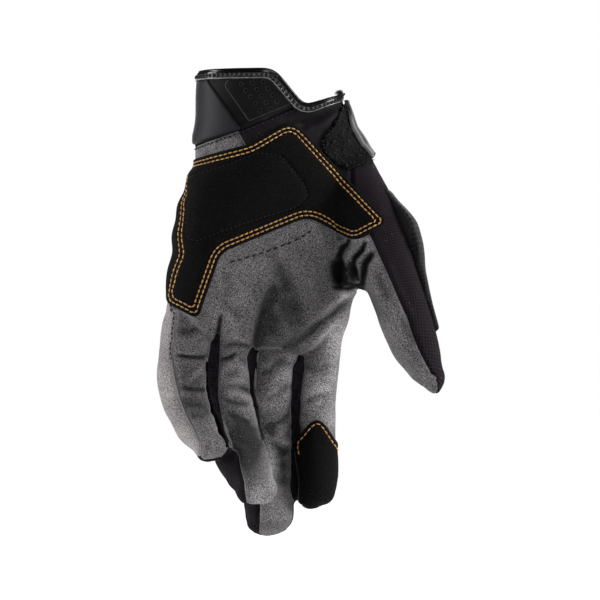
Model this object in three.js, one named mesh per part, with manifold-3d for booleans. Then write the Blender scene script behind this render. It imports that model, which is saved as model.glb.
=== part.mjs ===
// A left-hand adventure motorcycle glove, worn shape, fingers down and palm towards -Y.
// Millimetres, +Z up. The origin is the middle of the wrist opening, and +X is the thumb's side.
// The hand, each finger and the thumb are lofted tubes. Joined and hollowed they are the skin of
// the glove, and that skin is cut along its seams into the panels that the glove is sewn from.
import * as THREE from "three";
import { mergeVertices } from "three/addons/utils/BufferGeometryUtils.js";
import Module from "manifold-3d";

// Driving sizes.
const wall = 2; // cloth, foam and lining together
const seam = 0.3; // gap between two sewn pieces
const cuffExtra = 0.8; // the cuff's foam stands this much proud of the hand
const patchThick = 1.5; // suede patches on the palm and on the index fingertip
const pullThick = 1; // perforated panel on the cuff
const sidePadThick = 1.2; // the cuff's smooth outer panel
const strapThick = 1.6;
const tabThick = 2.4;
const bindingWidth = 5;
const bindingProud = 1.5; // the binding beyond the cuff, outside, inside and at the top
const wide = 120; // farther than any part of the glove, for cutting prisms
const tip = { pinky: 10.5, ring: 11, middle: 11, index: 10.5, thumb: 9.5, hand: 8 };

// Each row is one section of a tube: its middle (x, y, z), the half width across the hand, the
// half thickness from palm to back, and how far the palm side turns from -Y towards +X, in degrees.
const columns = ["x", "y", "z", "across", "thick", "turn"];
const tubes = {
  hand: {
    sides: 20,
    square: 2.35,
    stations: 7,
    rows: [
      [-0.3, 0, 24, 38.6, 28, 8],
      [-0.4, 0, 8, 38.8, 28.5, 8],
      [-0.8, 0, -8, 39.4, 28.5, 9],
      [1, 0, -22, 41, 28, 11],
      [3.2, 0, -34, 44.4, 27.5, 14],
      [5.6, 0, -48, 51.5, 27, 16],
      [4.5, 0, -62, 55.5, 26, 18],
      [2, 0, -78, 57, 25, 18],
      [-1.4, 1, -98, 56.5, 23.5, 18],
      [-4.8, 2, -115, 54.6, 22, 18],
      [-8, 3, -129, 52.4, 19.5, 18],
      [-10.2, 4, -139, 51.4, 17, 18],
    ],
    dents: [
      { at: 7.6, angle: -2, reach: 2, spread: 34, depth: 2.6 },
      { at: 8.3, angle: 33, reach: 0.9, spread: 9, depth: 4.5 },
      { at: 8.4, angle: 52, reach: 0.8, spread: 7, depth: 3 },
      { at: 3.6, angle: 20, reach: 0.6, spread: 30, depth: 2.2 },
    ],
  },
  pinky: {
    rows: [
      [-45.8, -6, -128, 13.6, 11.6, 24],
      [-47.5, -8, -144, 14.4, 12, 24],
      [-48.8, -11, -159.5, 14.8, 11.8, 25],
      [-48, -15, -172, 14.6, 11.6, 26],
      [-44.8, -20, -183, 14, 11.4, 27],
      [-39.6, -26.5, -193, 12.8, 10.8, 28],
      [-34.8, -33.5, -200, 11, 9.6, 28],
    ],
    dents: [
      { at: 2.6, angle: 0, reach: 0.35, spread: 45, depth: 1.2 },
      { at: 4.3, angle: 0, reach: 0.35, spread: 45, depth: 1.2 },
    ],
  },
  ring: {
    rows: [
      [-21.3, 1, -132, 13.4, 12.2, 27],
      [-22.8, 2, -148, 13.8, 12.2, 28],
      [-24.2, 1, -168, 14, 12, 30],
      [-23.4, -4, -182, 14.4, 12.4, 32],
      [-20.4, -11.5, -195.5, 15, 13, 34],
      [-16.4, -20, -208, 15.6, 13, 35],
      [-13, -28, -216.5, 15, 12.2, 35],
      [-9.8, -35, -222, 13, 10.4, 34],
    ],
    dents: [
      { at: 2.3, angle: 0, reach: 0.35, spread: 45, depth: 1.2 },
      { at: 4.5, angle: 0, reach: 0.35, spread: 45, depth: 1.2 },
    ],
  },
  middle: {
    rows: [
      [3.4, 9, -134, 13.2, 12, 24],
      [1.4, 10, -153, 13.6, 12, 26],
      [-0.6, 10.5, -173.5, 13.8, 11.8, 28],
      [-1.6, 10, -193, 14, 11.6, 30],
      [-1.5, 5.5, -213, 14.6, 11.8, 31],
      [-1.3, -1.5, -228, 15, 11.6, 31],
      [-0.9, -9, -241, 14.4, 11, 31],
    ],
    dents: [
      { at: 2.4, angle: 0, reach: 0.35, spread: 45, depth: 1.2 },
      { at: 4.2, angle: 0, reach: 0.35, spread: 45, depth: 1.2 },
    ],
  },
  index: {
    rows: [
      [28, 15.5, -134, 12.4, 12, 14],
      [26.2, 15.5, -153, 12.2, 12, 14],
      [24.2, 15, -172, 12, 11.8, 15],
      [24.2, 12.5, -189, 11.6, 11.6, 15],
      [24.7, 8.5, -205, 11.3, 11.6, 15],
      [24.8, 3.5, -218, 11.2, 11.2, 15],
      [24, -1, -227, 10.4, 10.4, 15],
    ],
    dents: [
      { at: 2.4, angle: 0, reach: 0.35, spread: 45, depth: 1 },
      { at: 4, angle: 0, reach: 0.35, spread: 45, depth: 1 },
    ],
  },
  thumb: {
    rows: [
      [38.5, 2, -44, 15, 17.4, -75],
      [47.4, -3, -61.5, 15.5, 17.6, -75],
      [56.4, -9, -78.5, 15.5, 17.4, -75],
      [64, -14, -96, 15, 16.6, -75],
      [69, -18, -112, 14.4, 15.4, -75],
      [74, -20.5, -127, 13.8, 14, -75],
      [78.9, -22.5, -142, 13, 13.6, -75],
      [83.6, -24.5, -154, 12, 11.4, -75],
      [88, -26.5, -163, 10.2, 8.2, -75],
    ],
    dents: [{ at: 5, angle: 0, reach: 0.5, spread: 45, depth: 1 }],
  },
};

// Seam lines round each tube, in degrees from the middle of its palm side towards the thumb.
// Front is the suede palm side, back the stretch cloth. Between them a finger has side walls.
const seams = {
  hand: { front: [-108, 86] },
  pinky: { front: [-50, 54], back: [126, 232] },
  ring: { front: [-52, 52], back: [128, 232] },
  middle: { front: [-52, 52], back: [128, 232] },
  index: { front: [-52, 84], back: [84, 228] },
  thumb: { front: [-88, 76] },
};

// The strips between front and back. A strip between two fingers runs up one, round the crotch
// and down the other, and the little finger's outer strip reaches up the edge of the hand.
const sideWalls = [
  { name: "pinky_side_panel", walls: [["pinky", -1]], onHand: [-128, -72] },
  { name: "fourchette_pinky_ring", walls: [["pinky", 1], ["ring", -1]], crotch: [-30.2, -143] },
  { name: "fourchette_ring_middle", walls: [["ring", 1], ["middle", -1]], crotch: [-9.5, -149] },
  { name: "fourchette_middle_index", walls: [["middle", 1], ["index", -1]], crotch: [16.2, -149] },
];

// Outlines seen from the palm's side: [x, z, corner radius].
const cuffTopFront = [[-wide, 9.2], [0.6, 10.9, 12], [18, -10.6, 9], [wide, 12]];
const cuffTopBack = [[-wide, 9.2], [-36, 9.2, 15], [18, -13.5, 12], [44, -2.2, 30], [wide, 12]];
const cuffSeam = [[-wide, -55.4], [wide, 20.2]];
const patchOutline = [
  [-48.5, -43.5, 4],
  [-12, -34, 30],
  [13, -19.8, 9],
  [65.5, -78, 4],
  [47, -87.8, 10],
  [20.5, -74, 14],
  [-27.5, -94, 12],
  [-40.5, -131, 4],
  [-57, -122.5, 6],
  [-55, -88, 60],
  [-49, -60, 20],
];
const fingertipOutline = [[26, -183.6, 7], [12, -200.5, 3], [6, -250], [45, -250], [38.5, -204, 3]];
// The edge of the hand over the little finger, where its outer strip reaches up.
const handEdge = [[-wide, -112], [-49, -112], [-44, -150], [-wide, -150]];
// Everything above and right of this line is stretch cloth instead of suede.
const darkOutline = [[-18.5, 30], [-18.5, -26], [-12, -37, 5], [30, -50], [57, -86], [wide, -86], [wide, 30]];
const radialOutline = [[wide, 40], [45, 40], [45, -62], [50, -116], [56, -145], [56, -190], [wide, -190]];
const gussetOutline = [[-18.5, 40], [-18.5, -60], [45, -60], [45, 40]];
const thumbOutline = [[41.5, -84], [37.5, -99], [42.5, -112], [52, -116.5], [54, -190], [wide, -190], [wide, -84]];
const loopOutline = [[38.5, -9, 3], [52, -9, 2], [58.5, -37, 2], [58.5, -43.5, 2], [48.5, -51.5, 2], [28, -28.5, 3]];
const pullOutline = [[-26, -1, 4], [-20.5, 5, 3], [1, 6, 6], [12.5, -11.2, 1], [-12, -21.4, 1]];
const sidePadOutline = [[-wide, 3.8], [-34.5, 3.8, 2], [-19, -24.2, 1], [-wide, -54]];
const strapOutline = [[-wide, -70], [-wide, -40], [70, 6], [70, -29]];
const tabOutline = [[35, -9.5, 3], [70, 4], [70, -27], [52, -44.5, 4]];
// The guard's edge that faces the viewer, in degrees, and its thickness, along the thumb's rows.
const guardBack = 244;
const guardRows = [
  { at: 1.3, front: 128, thick: 1.6 },
  { at: 1.7, front: 126, thick: 5.4 },
  { at: 2.3, front: 125, thick: 6.8 },
  { at: 3, front: 128, thick: 5.3 },
  { at: 3.7, front: 134, thick: 3 },
  { at: 4.8, front: 142, thick: 2.4 },
  { at: 6, front: 152, thick: 1.8 },
];
const perforation = { radius: 0.85, across: 6, down: 3.75, slide: 2.6, x: -16.2, z: 0.6, rows: 5, columns: 3 };

// A column's value at a place between rows, on a smooth curve through the rows.
function smooth(values, at) {
  const last = values.length - 1;
  const i = Math.min(Math.max(Math.floor(at), 0), last - 1);
  const f = at - i;
  const [a, b, c, d] = [i - 1, i, i + 1, i + 2].map((k) => values[Math.min(Math.max(k, 0), last)]);
  return 0.5 * (2 * b + (c - a) * f + (2 * a - 5 * b + 4 * c - d) * f * f + (3 * b - a - 3 * c + d) * f ** 3);
}

class Tube {
  constructor(tipLength, { rows, dents, sides = 11, square = 2.2, stations = 5 }) {
    Object.assign(this, { tipLength, dents, sides, square });
    this.table = Object.fromEntries(columns.map((name, k) => [name, rows.map((row) => row[k])]));
    this.last = rows.length - 1;
    // Sections of the surface, and those of the slices that cut it, which lie between them.
    const shafts = (steps) => steps.map((step) => ({ at: (step * this.last) / stations, dome: 0 }));
    const domes = (degrees) => degrees.map((dome) => ({ at: this.last, dome: THREE.MathUtils.degToRad(dome) }));
    const steps = Array.from({ length: stations }, (_, k) => k);
    this.places = [...shafts([...steps, stations]), ...domes([45])];
    this.cuts = [...shafts(steps.map((step) => step && step + 0.12)), ...domes([8, 38, 55, 89])];
  }

  // The frame of a section: its middle, the way down the tube, the palm's side and the thumb's side.
  frame(at) {
    const value = (name, place) => smooth(this.table[name], place);
    const middle = (place) => new THREE.Vector3(value("x", place), value("y", place), value("z", place));
    const step = 0.05;
    const down = middle(at + step).sub(middle(at - step)).normalize();
    const turn = THREE.MathUtils.degToRad(value("turn", at));
    const palm = new THREE.Vector3(Math.sin(turn), -Math.cos(turn), 0);
    palm.addScaledVector(down, -palm.dot(down)).normalize();
    const side = palm.clone().cross(down);
    return { middle: middle(at), down, palm, side, across: value("across", at), thick: value("thick", at) };
  }

  // How far the surface is pressed in at this place.
  dent(at, degrees) {
    const fall = (distance, reach) => Math.exp(-((distance / reach) ** 2));
    const press = (d) => d.depth * fall(at - d.at, d.reach) * fall(degrees - d.angle, d.spread);
    return this.dents.reduce((sum, one) => sum + press(one), 0);
  }

  // A point of the surface, moved out by grow.
  point({ at, dome }, degrees, grow) {
    const f = this.frame(at);
    const angle = THREE.MathUtils.degToRad(degrees);
    const [c, s] = [Math.cos(angle), Math.sin(angle)];
    const shape = (Math.abs(c) ** this.square + Math.abs(s) ** this.square) ** (-1 / this.square);
    const turned = THREE.MathUtils.euclideanModulo(degrees + 180, 360) - 180;
    const press = this.dent(at, turned);
    const taper = Math.cos(dome);
    return this.centre({ at, dome }, grow)
      .addScaledVector(f.palm, (f.thick + grow - press * Math.max(c, 0)) * c * shape * taper)
      .addScaledVector(f.side, (f.across + grow - press * Math.abs(s)) * s * shape * taper);
  }

  centre({ at, dome }, grow) {
    const f = this.frame(at);
    return f.middle.clone().addScaledVector(f.down, (this.tipLength + grow) * Math.sin(dome));
  }

  // A closed length of the tube through these places and on to its tip, moved out by grow.
  length(places, sides, grow) {
    const rings = places.map((place) => {
      const ring = [];
      for (let k = 0; k < sides; k += 1) ring.push(this.point(place, (360 * k) / sides, grow));
      return ring;
    });
    const pole = { at: places.at(-1).at, dome: Math.PI / 2 };
    return loft(rings, this.centre(places[0], grow), this.centre(pole, grow));
  }

  solid(grow) {
    return this.length(this.places, this.sides, grow);
  }

  // The inside of the glove needs fewer sections and sides.
  inside(grow) {
    const places = this.places.filter((place, k) => k % 2 === 0 || place.at === this.last);
    return this.length(places, Math.round(this.sides * 0.7), grow);
  }

  // All round the fingertip, from halfway round its dome. Spread moves its edge up the finger.
  cap(spread) {
    const [edge, next] = this.cuts.slice(-3);
    return this.length([{ ...edge, dome: edge.dome - spread / this.tipLength }, next], this.sides, 0.5 + spread);
  }

  // The cutting sections up to the cap, less the gap that a seam keeps to it.
  shaft(spread) {
    const edge = this.cuts.at(-3);
    return [...this.cuts.slice(0, -3), { ...edge, dome: edge.dome - (seam - spread) / this.tipLength }];
  }

  // A slice of the tube between two seam lines, from its axis to just outside its surface.
  // An edge is in degrees, or a function of the place. Spread widens the slice by millimetres.
  slice(edges, { spread = 0, outside = 0.5 + spread, places = this.cuts } = {}) {
    const value = (given, place) => (typeof given === "function" ? given(place) : given);
    const [low, high] = edges.map((edge) => value(edge, places[0]));
    const steps = Math.ceil(((high - low) / 360) * this.sides);
    const rings = places.map((section) => {
      const place = section.at ? section : { ...section, at: -spread / 10 };
      const f = this.frame(place.at);
      const more = THREE.MathUtils.radToDeg((2 * spread) / ((f.across + f.thick) * Math.cos(place.dome)));
      const [from, to] = [value(edges[0], place) - more, value(edges[1], place) + more];
      const grow = value(outside, place);
      const ring = [this.centre(place, grow)];
      for (let k = 0; k <= steps; k += 1) ring.push(this.point(place, from + ((to - from) * k) / steps, grow));
      return ring;
    });
    return loft(rings);
  }
}

const wasm = await Module();
wasm.setup();

function solidOf(geometry) {
  geometry.deleteAttribute("normal");
  geometry.deleteAttribute("uv");
  const merged = mergeVertices(geometry, 1e-4);
  return new wasm.Manifold(
    new wasm.Mesh({
      numProp: 3,
      vertProperties: new Float32Array(merged.attributes.position.array),
      triVerts: new Uint32Array(merged.index.array),
    }),
  );
}

function geometryOf(solid) {
  const { vertProperties, triVerts } = solid.getMesh();
  const geometry = new THREE.BufferGeometry();
  geometry.setAttribute("position", new THREE.BufferAttribute(vertProperties, 3));
  return geometry.setIndex(new THREE.BufferAttribute(triVerts, 1));
}

// A closed solid through rings of points. Hubs are the middles of its two ends, if it has them.
function loft(rings, startHub, endHub) {
  const count = rings[0].length;
  const points = rings.flat();
  const faces = [];
  for (let r = 0; r + 1 < rings.length; r += 1)
    for (let k = 0; k < count; k += 1) {
      const [a, b] = [r * count + k, r * count + ((k + 1) % count)];
      faces.push(a, b, b + count, a, b + count, a + count);
    }
  const end = (rings.length - 1) * count;
  if (startHub) {
    const [first, last] = [points.push(startHub) - 1, points.push(endHub) - 1];
    for (let k = 0; k < count; k += 1) {
      const next = (k + 1) % count;
      faces.push(first, next, k, last, end + k, end + next);
    }
  } else for (let k = 1; k + 1 < count; k += 1) faces.push(0, k + 1, k, end, end + k, end + k + 1);
  const geometry = new THREE.BufferGeometry().setFromPoints(points);
  geometry.setIndex(faces);
  const made = solidOf(geometry);
  if (made.volume() > 0) return made;
  geometry.setIndex(faces.toReversed());
  return solidOf(geometry);
}

const union = (solids) => solids.reduce((all, one) => all.add(one));

// The polygon of an outline whose corners are rounded by their radius.
function rounded(corners) {
  return corners.flatMap(([x, z, radius = 0], k) => {
    const at = new THREE.Vector2(x, z);
    if (!radius) return [at];
    const neighbours = [corners.at(k - 1), corners[(k + 1) % corners.length]];
    const arms = neighbours.map(([u, v]) => new THREE.Vector2(u, v).sub(at));
    const half = Math.abs(arms[0].angleTo(arms[1])) / 2;
    const reach = Math.min(radius / Math.tan(half), arms[0].length() * 0.48, arms[1].length() * 0.48);
    const [a, b] = arms.map((arm) => arm.setLength(reach).add(at));
    return new THREE.QuadraticBezierCurve(a, at, b).getPoints(3);
  });
}

// A small diamond at a crotch.
const crotchOutline = ([x, z]) => [[x - 4, z], [x, z - 6], [x + 4, z], [x, z + 5]];

// The same polygon moved outwards by a distance.
function offset(points, distance) {
  const turn = Math.sign(THREE.ShapeUtils.area(points));
  return points.map((p, k) => {
    const before = p.clone().sub(points.at(k - 1)).normalize();
    const after = points[(k + 1) % points.length].clone().sub(p).normalize();
    const out = new THREE.Vector2(before.y + after.y, -before.x - after.x).multiplyScalar(turn);
    return p.clone().addScaledVector(out, distance / (1 + before.dot(after)));
  });
}

// A prism with this outline seen from the palm's side.
function prism(corners, { grow = 0, yFrom = -wide, yTo = wide } = {}) {
  const shape = new THREE.Shape(offset(rounded(corners), grow));
  const geometry = new THREE.ExtrudeGeometry(shape, { depth: yTo - yFrom, bevelEnabled: false });
  return solidOf(geometry.rotateX(Math.PI / 2).translate(0, yTo, 0));
}

// All that lies below an edge line, with its own line for the front half and the back half.
function below(front, back, grow = 0) {
  const closed = (line) => [...line, [wide, -300], [-wide, -300]];
  return prism(closed(front), { grow, yTo: 0.01 }).add(prism(closed(back), { grow, yFrom: -0.01 }));
}

const tube = {};
for (const [name, shape] of Object.entries(tubes)) tube[name] = new Tube(tip[name], shape);
const fingers = ["pinky", "ring", "middle", "index"];
const skin = (grow) => union(Object.values(tube).map((one) => one.solid(grow)));

// The regions that the seams divide the glove into. Spread moves their edges out.
const sideOf = (name, side) => {
  const { front, back } = seams[name];
  return side > 0 ? [front[1], back[0]] : [back[1] - 360, front[0]];
};

function sideWall({ walls, crotch, onHand }, spread) {
  const parts = walls.map(([name, side]) => {
    const places = tube[name].shaft(spread);
    return tube[name].slice(sideOf(name, side), { spread, places });
  });
  if (crotch) parts.push(prism(crotchOutline(crotch), { grow: spread }));
  if (onHand) {
    const edge = tube.hand.slice(onHand, { spread, places: tube.hand.cuts.slice(-5) });
    parts.push(edge.intersect(prism(handEdge, { grow: spread })));
  }
  return union(parts);
}

function suedeSide(spread) {
  const front = (name) => tube[name].slice(seams[name].front, { spread });
  const upper = union([front("hand"), front("thumb"), tube.thumb.cap(spread)]);
  const fronts = fingers.flatMap((name) => [front(name), tube[name].cap(spread)]);
  return union([upper.subtract(prism(darkOutline, { grow: -spread })), ...fronts]);
}

const hollow = union(Object.values(tube).map((one) => one.inside(-wall)));
const belowTop = (grow) => below(cuffTopFront, cuffTopBack, grow);
const belowSeam = (grow) => below(cuffSeam, cuffSeam, grow);
const underBinding = belowTop(-bindingWidth - seam);
const body = skin(0).subtract(hollow).intersect(belowTop(0)).intersect(belowSeam(-seam / 2));

// Biggest piece of a cut, which drops the slivers that a cut leaves where two tubes meet.
const biggest = (solid) => solid.decompose().sort((a, b) => b.volume() - a.volume())[0];

const walled = union(sideWalls.map((one) => sideWall(one, seam)));
const suede = body.intersect(suedeSide(0)).subtract(walled);
const cloth = body.subtract(suedeSide(seam).add(walled));
const thumbArea = (grow) => prism(thumbOutline, { grow });
const radialArea = (grow) => prism(radialOutline, { grow });
const gussetArea = (grow) => prism(gussetOutline, { grow, yTo: 0 });

const cuff = tube.hand.solid(cuffExtra).subtract(hollow).subtract(belowSeam(seam / 2)).intersect(belowTop(0));
const binding = tube.hand
  .solid(cuffExtra + bindingProud)
  .subtract(hollow)
  .intersect(belowTop(bindingProud).subtract(belowTop(-bindingWidth)))
  .subtract(tube.hand.solid(cuffExtra + seam).intersect(belowTop(seam)));

// A layer laid on the glove inside an outline, from this height over the skin, with its thickness.
function layer(from, thickness, outline, range) {
  return skin(from + thickness).subtract(skin(from)).intersect(prism(outline, range));
}

const palmPatch = layer(seam, patchThick, patchOutline, { yTo: -5 });
const loopPatch = layer(seam, patchThick, loopOutline, { yTo: 6 })
  .intersect(underBinding)
  .subtract(prism(patchOutline, { grow: seam, yTo: 0 }));

const fingertip = tube.index
  .solid(seam + patchThick)
  .subtract(tube.index.solid(seam))
  .intersect(prism(fingertipOutline))
  .intersect(tube.index.slice([-92, 104], { outside: 4 }));

const guard = tube.thumb
  .slice([(place) => place.front, () => guardBack], {
    outside: (place) => seam + place.thick,
    places: guardRows.map((row) => ({ ...row, dome: 0 })),
  })
  .subtract(skin(seam));

const strapLevel = cuffExtra + patchThick + 2 * seam;
const strap = layer(strapLevel, strapThick, strapOutline, { yFrom: 6 })
  .subtract(prism(tabOutline, { grow: seam }))
  .intersect(underBinding);
const tab = layer(strapLevel, tabThick, tabOutline, { yFrom: -2 }).intersect(underBinding);

const cuffPanel = (thickness, outline, yTo) =>
  layer(cuffExtra + seam, thickness, outline, { yTo }).intersect(underBinding).subtract(belowSeam(seam));
const pullPanel = cuffPanel(pullThick, pullOutline, 0);
const sidePad = cuffPanel(sidePadThick, sidePadOutline, 4);

// Rows of small holes through the pull panel.
function punched(panel) {
  let made = panel;
  for (let row = 0; row < perforation.rows; row += 1)
    for (let column = 0; column < perforation.columns; column += 1) {
      const hole = new THREE.CylinderGeometry(perforation.radius, perforation.radius, 30, 4);
      const x = perforation.x + column * perforation.across + row * perforation.slide;
      hole.translate(x, -30, perforation.z - row * perforation.down);
      made = made.subtract(solidOf(hole));
    }
  return made;
}

const finish = (color, roughness) => new THREE.MeshStandardMaterial({ color, roughness, metalness: 0 });
const greySuede = finish(0x5b595c, 0.95);
const paleSuede = finish(0x8a8486, 0.95);
const blackSuede = finish(0x171716, 0.95);
const stretchCloth = finish(0x2a262e, 0.85);
const softCuff = finish(0x211f26, 0.7);
const gloss = finish(0x101014, 0.25);
const fuzz = finish(0x0c0c0c, 1);

const glove = new THREE.Group();
function add(name, solid, material) {
  const mesh = new THREE.Mesh(geometryOf(biggest(solid)), material);
  mesh.name = name;
  glove.add(mesh);
}

add("palm_panel", suede.subtract(thumbArea(seam)), greySuede);
add("thumb_front_panel", suede.intersect(thumbArea(0)), greySuede);
add("wrist_gusset", cloth.intersect(gussetArea(0)), stretchCloth);
add("radial_panel", cloth.subtract(gussetArea(seam)).intersect(radialArea(0)), stretchCloth);
add("back_panel", cloth.subtract(gussetArea(seam)).subtract(radialArea(seam)), stretchCloth);
for (const one of sideWalls) add(one.name, body.intersect(sideWall(one, 0)), one.onHand ? paleSuede : stretchCloth);
add("cuff", cuff, softCuff);
add("cuff_side_pad", sidePad, softCuff);
add("cuff_pull_panel", punched(pullPanel), gloss);
add("cuff_binding", binding, gloss);
add("palm_patch", palmPatch, blackSuede);
add("fingertip_patch", fingertip, blackSuede);
add("thumb_guard", guard, blackSuede);
add("loop_patch", loopPatch, fuzz);
add("wrist_strap", strap, stretchCloth);
add("strap_tab", tab, gloss);

export default glove;
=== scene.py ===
# Adventure riding glove, left hand, palm towards -Y and fingers down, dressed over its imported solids.
import math
import time
import bpy
import numpy as np
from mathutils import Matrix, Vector
from mathutils.bvhtree import BVHTree


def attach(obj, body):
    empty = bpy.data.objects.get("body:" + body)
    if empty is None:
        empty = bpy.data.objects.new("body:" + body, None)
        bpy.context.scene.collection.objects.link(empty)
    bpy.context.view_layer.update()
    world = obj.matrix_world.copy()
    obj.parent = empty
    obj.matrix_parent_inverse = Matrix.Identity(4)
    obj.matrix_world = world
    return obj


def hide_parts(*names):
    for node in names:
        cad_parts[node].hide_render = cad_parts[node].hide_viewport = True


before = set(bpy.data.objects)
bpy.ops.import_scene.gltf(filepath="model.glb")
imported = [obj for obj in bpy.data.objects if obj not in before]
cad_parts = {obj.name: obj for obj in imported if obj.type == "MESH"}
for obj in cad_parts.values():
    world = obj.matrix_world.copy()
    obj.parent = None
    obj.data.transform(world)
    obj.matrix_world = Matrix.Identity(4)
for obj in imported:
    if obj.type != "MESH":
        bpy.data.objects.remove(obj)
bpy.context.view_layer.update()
started = time.time()
mm = 0.001
rad = math.pi / 180


def stage(text):
    print(f"[{time.time() - started:5.1f} s] {text}")


# The hand, fingers and thumb as tubes
# Rows are sections, in mm and degrees: middle x, y, z, half width, half thickness, turn of the palm side.
# Dents are at, angle, reach, spread, depth.
handForm = {
    "hand": {
        "square": 2.35, "tip": 8,
        "rows": [
            [-0.3, 0, 24, 38.6, 28, 8], [-0.4, 0, 8, 38.8, 28.5, 8], [-0.8, 0, -8, 39.4, 28.5, 9],
            [1, 0, -22, 41, 28, 11], [3.2, 0, -34, 44.4, 27.5, 14], [5.6, 0, -48, 51.5, 27, 16],
            [4.5, 0, -62, 55.5, 26, 18], [2, 0, -78, 57, 25, 18], [-1.4, 1, -98, 56.5, 23.5, 18],
            [-4.8, 2, -115, 54.6, 22, 18], [-8, 3, -129, 52.4, 19.5, 18], [-10.2, 4, -139, 51.4, 17, 18],
        ],
        "dents": [[7.6, -2, 2, 34, 2.6], [8.3, 33, 0.9, 9, 4.5], [8.4, 52, 0.8, 7, 3], [3.6, 20, 0.6, 30, 2.2]],
    },
    "pinky": {
        "blunt": 0.72, "square": 2.2, "tip": 10.5,
        "rows": [
            [-45.8, -6, -128, 13.6, 11.6, 24], [-47.5, -8, -144, 14.4, 12, 24],
            [-48.8, -11, -159.5, 14.8, 11.8, 25],
            [-48, -15, -172, 14.6, 11.6, 26], [-44.8, -20, -183, 14, 11.4, 27],
            [-39.6, -26.5, -193, 12.8, 10.8, 28],
            [-34.8, -33.5, -200, 11, 9.6, 28],
        ],
        "dents": [[2.6, 0, 0.35, 45, 1.2], [4.3, 0, 0.35, 45, 1.2]],
    },
    "ring": {
        "blunt": 0.52, "square": 2.2, "tip": 11,
        "rows": [
            [-21.3, 1, -132, 13.4, 12.2, 27], [-22.8, 2, -148, 13.8, 12.2, 28], [-24.2, 1, -168, 14, 12, 30],
            [-23.4, -4, -182, 14.4, 12.4, 32], [-20.4, -11.5, -195.5, 15, 13, 34],
            [-16.4, -20, -208, 15.6, 13, 35],
            [-13, -28, -216.5, 15, 12.2, 35], [-9.8, -35, -222, 13, 10.4, 34],
        ],
        "dents": [[2.3, 0, 0.35, 45, 1.2], [4.5, 0, 0.35, 45, 1.2]],
    },
    "middle": {
        "blunt": 0.72, "square": 2.2, "tip": 11,
        "rows": [
            [3.4, 9, -134, 13.2, 12, 24], [1.4, 10, -153, 13.6, 12, 26], [-0.6, 10.5, -173.5, 13.8, 11.8, 28],
            [-1.6, 10, -193, 14, 11.6, 30], [-1.5, 5.5, -213, 14.6, 11.8, 31], [-1.3, -1.5, -228, 15, 11.6, 31],
            [-0.9, -9, -241, 14.4, 11, 31],
        ],
        "dents": [[2.4, 0, 0.35, 45, 1.2], [4.2, 0, 0.35, 45, 1.2]],
    },
    "index": {
        "blunt": 0.85, "square": 2.2, "tip": 10.5,
        "rows": [
            [28, 15.5, -134, 12.4, 12, 14], [26.2, 15.5, -153, 12.2, 12, 14], [24.2, 15, -172, 12, 11.8, 15],
            [24.2, 12.5, -189, 11.6, 11.6, 15], [24.7, 8.5, -205, 11.3, 11.6, 15],
            [24.8, 3.5, -218, 11.2, 11.2, 15],
            [24, -1, -227, 10.4, 10.4, 15],
        ],
        "dents": [[2.4, 0, 0.35, 45, 1], [4, 0, 0.35, 45, 1]],
    },
    "thumb": {
        "square": 2.2, "tip": 9.5,
        "rows": [
            [38.5, 2, -44, 15, 17.4, -75], [47.4, -3, -61.5, 15.5, 17.6, -75],
            [56.4, -9, -78.5, 15.5, 17.4, -75],
            [64, -14, -96, 15, 16.6, -75], [69, -18, -112, 14.4, 15.4, -75], [74, -20.5, -127, 13.8, 14, -75],
            [78.9, -22.5, -142, 13, 13.6, -75], [83.6, -24.5, -154, 12, 11.4, -75],
            [88, -26.5, -163, 10.2, 8.2, -75],
        ],
        "dents": [[5, 0, 0.5, 45, 1]],
    },
    "web": {  # gathered cloth between the palm and the thumb
        "blunt": 0.6, "square": 2.1, "tip": 4,
        "rows": [
            [45.6, -10.4, -84, 12, 8, -45], [48.1, -10.4, -96, 13, 8, -45], [49.4, -10.4, -106, 13, 8, -45],
            [49.8, -10.4, -110.5, 12.6, 8, -45],
        ],
        "dents": [],
    },
}
fingers = ("pinky", "ring", "middle", "index")


def rowsAt(name, at):
    rows = np.array(handForm[name]["rows"], float)
    last = len(rows) - 1
    i = np.clip(np.floor(at), 0, last - 1).astype(int)
    f = (at - i)[:, None]
    a, b, c, d = (rows[np.clip(i + k, 0, last)] for k in (-1, 0, 1, 2))
    return 0.5 * (2 * b + (c - a) * f + (2 * a - 5 * b + 4 * c - d) * f**2 + (3 * b - a - 3 * c + d) * f**3)


def unit(v):
    return v / np.maximum(np.linalg.norm(v, axis=-1, keepdims=True), 1e-9)


def framesAt(name, at):
    # middle, way down, palm's side, thumb's side, half width and half thickness of the sections there
    at = np.atleast_1d(np.asarray(at, float))
    row = rowsAt(name, at)
    down = unit(rowsAt(name, at + 0.05)[:, :3] - rowsAt(name, at - 0.05)[:, :3])
    turn = row[:, 5] * rad
    palm = np.stack([np.sin(turn), -np.cos(turn), 0 * turn], 1)
    palm = unit(palm - down * (palm * down).sum(1, keepdims=True))
    return row[:, :3], down, palm, np.cross(palm, down), row[:, 3], row[:, 4]


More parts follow.
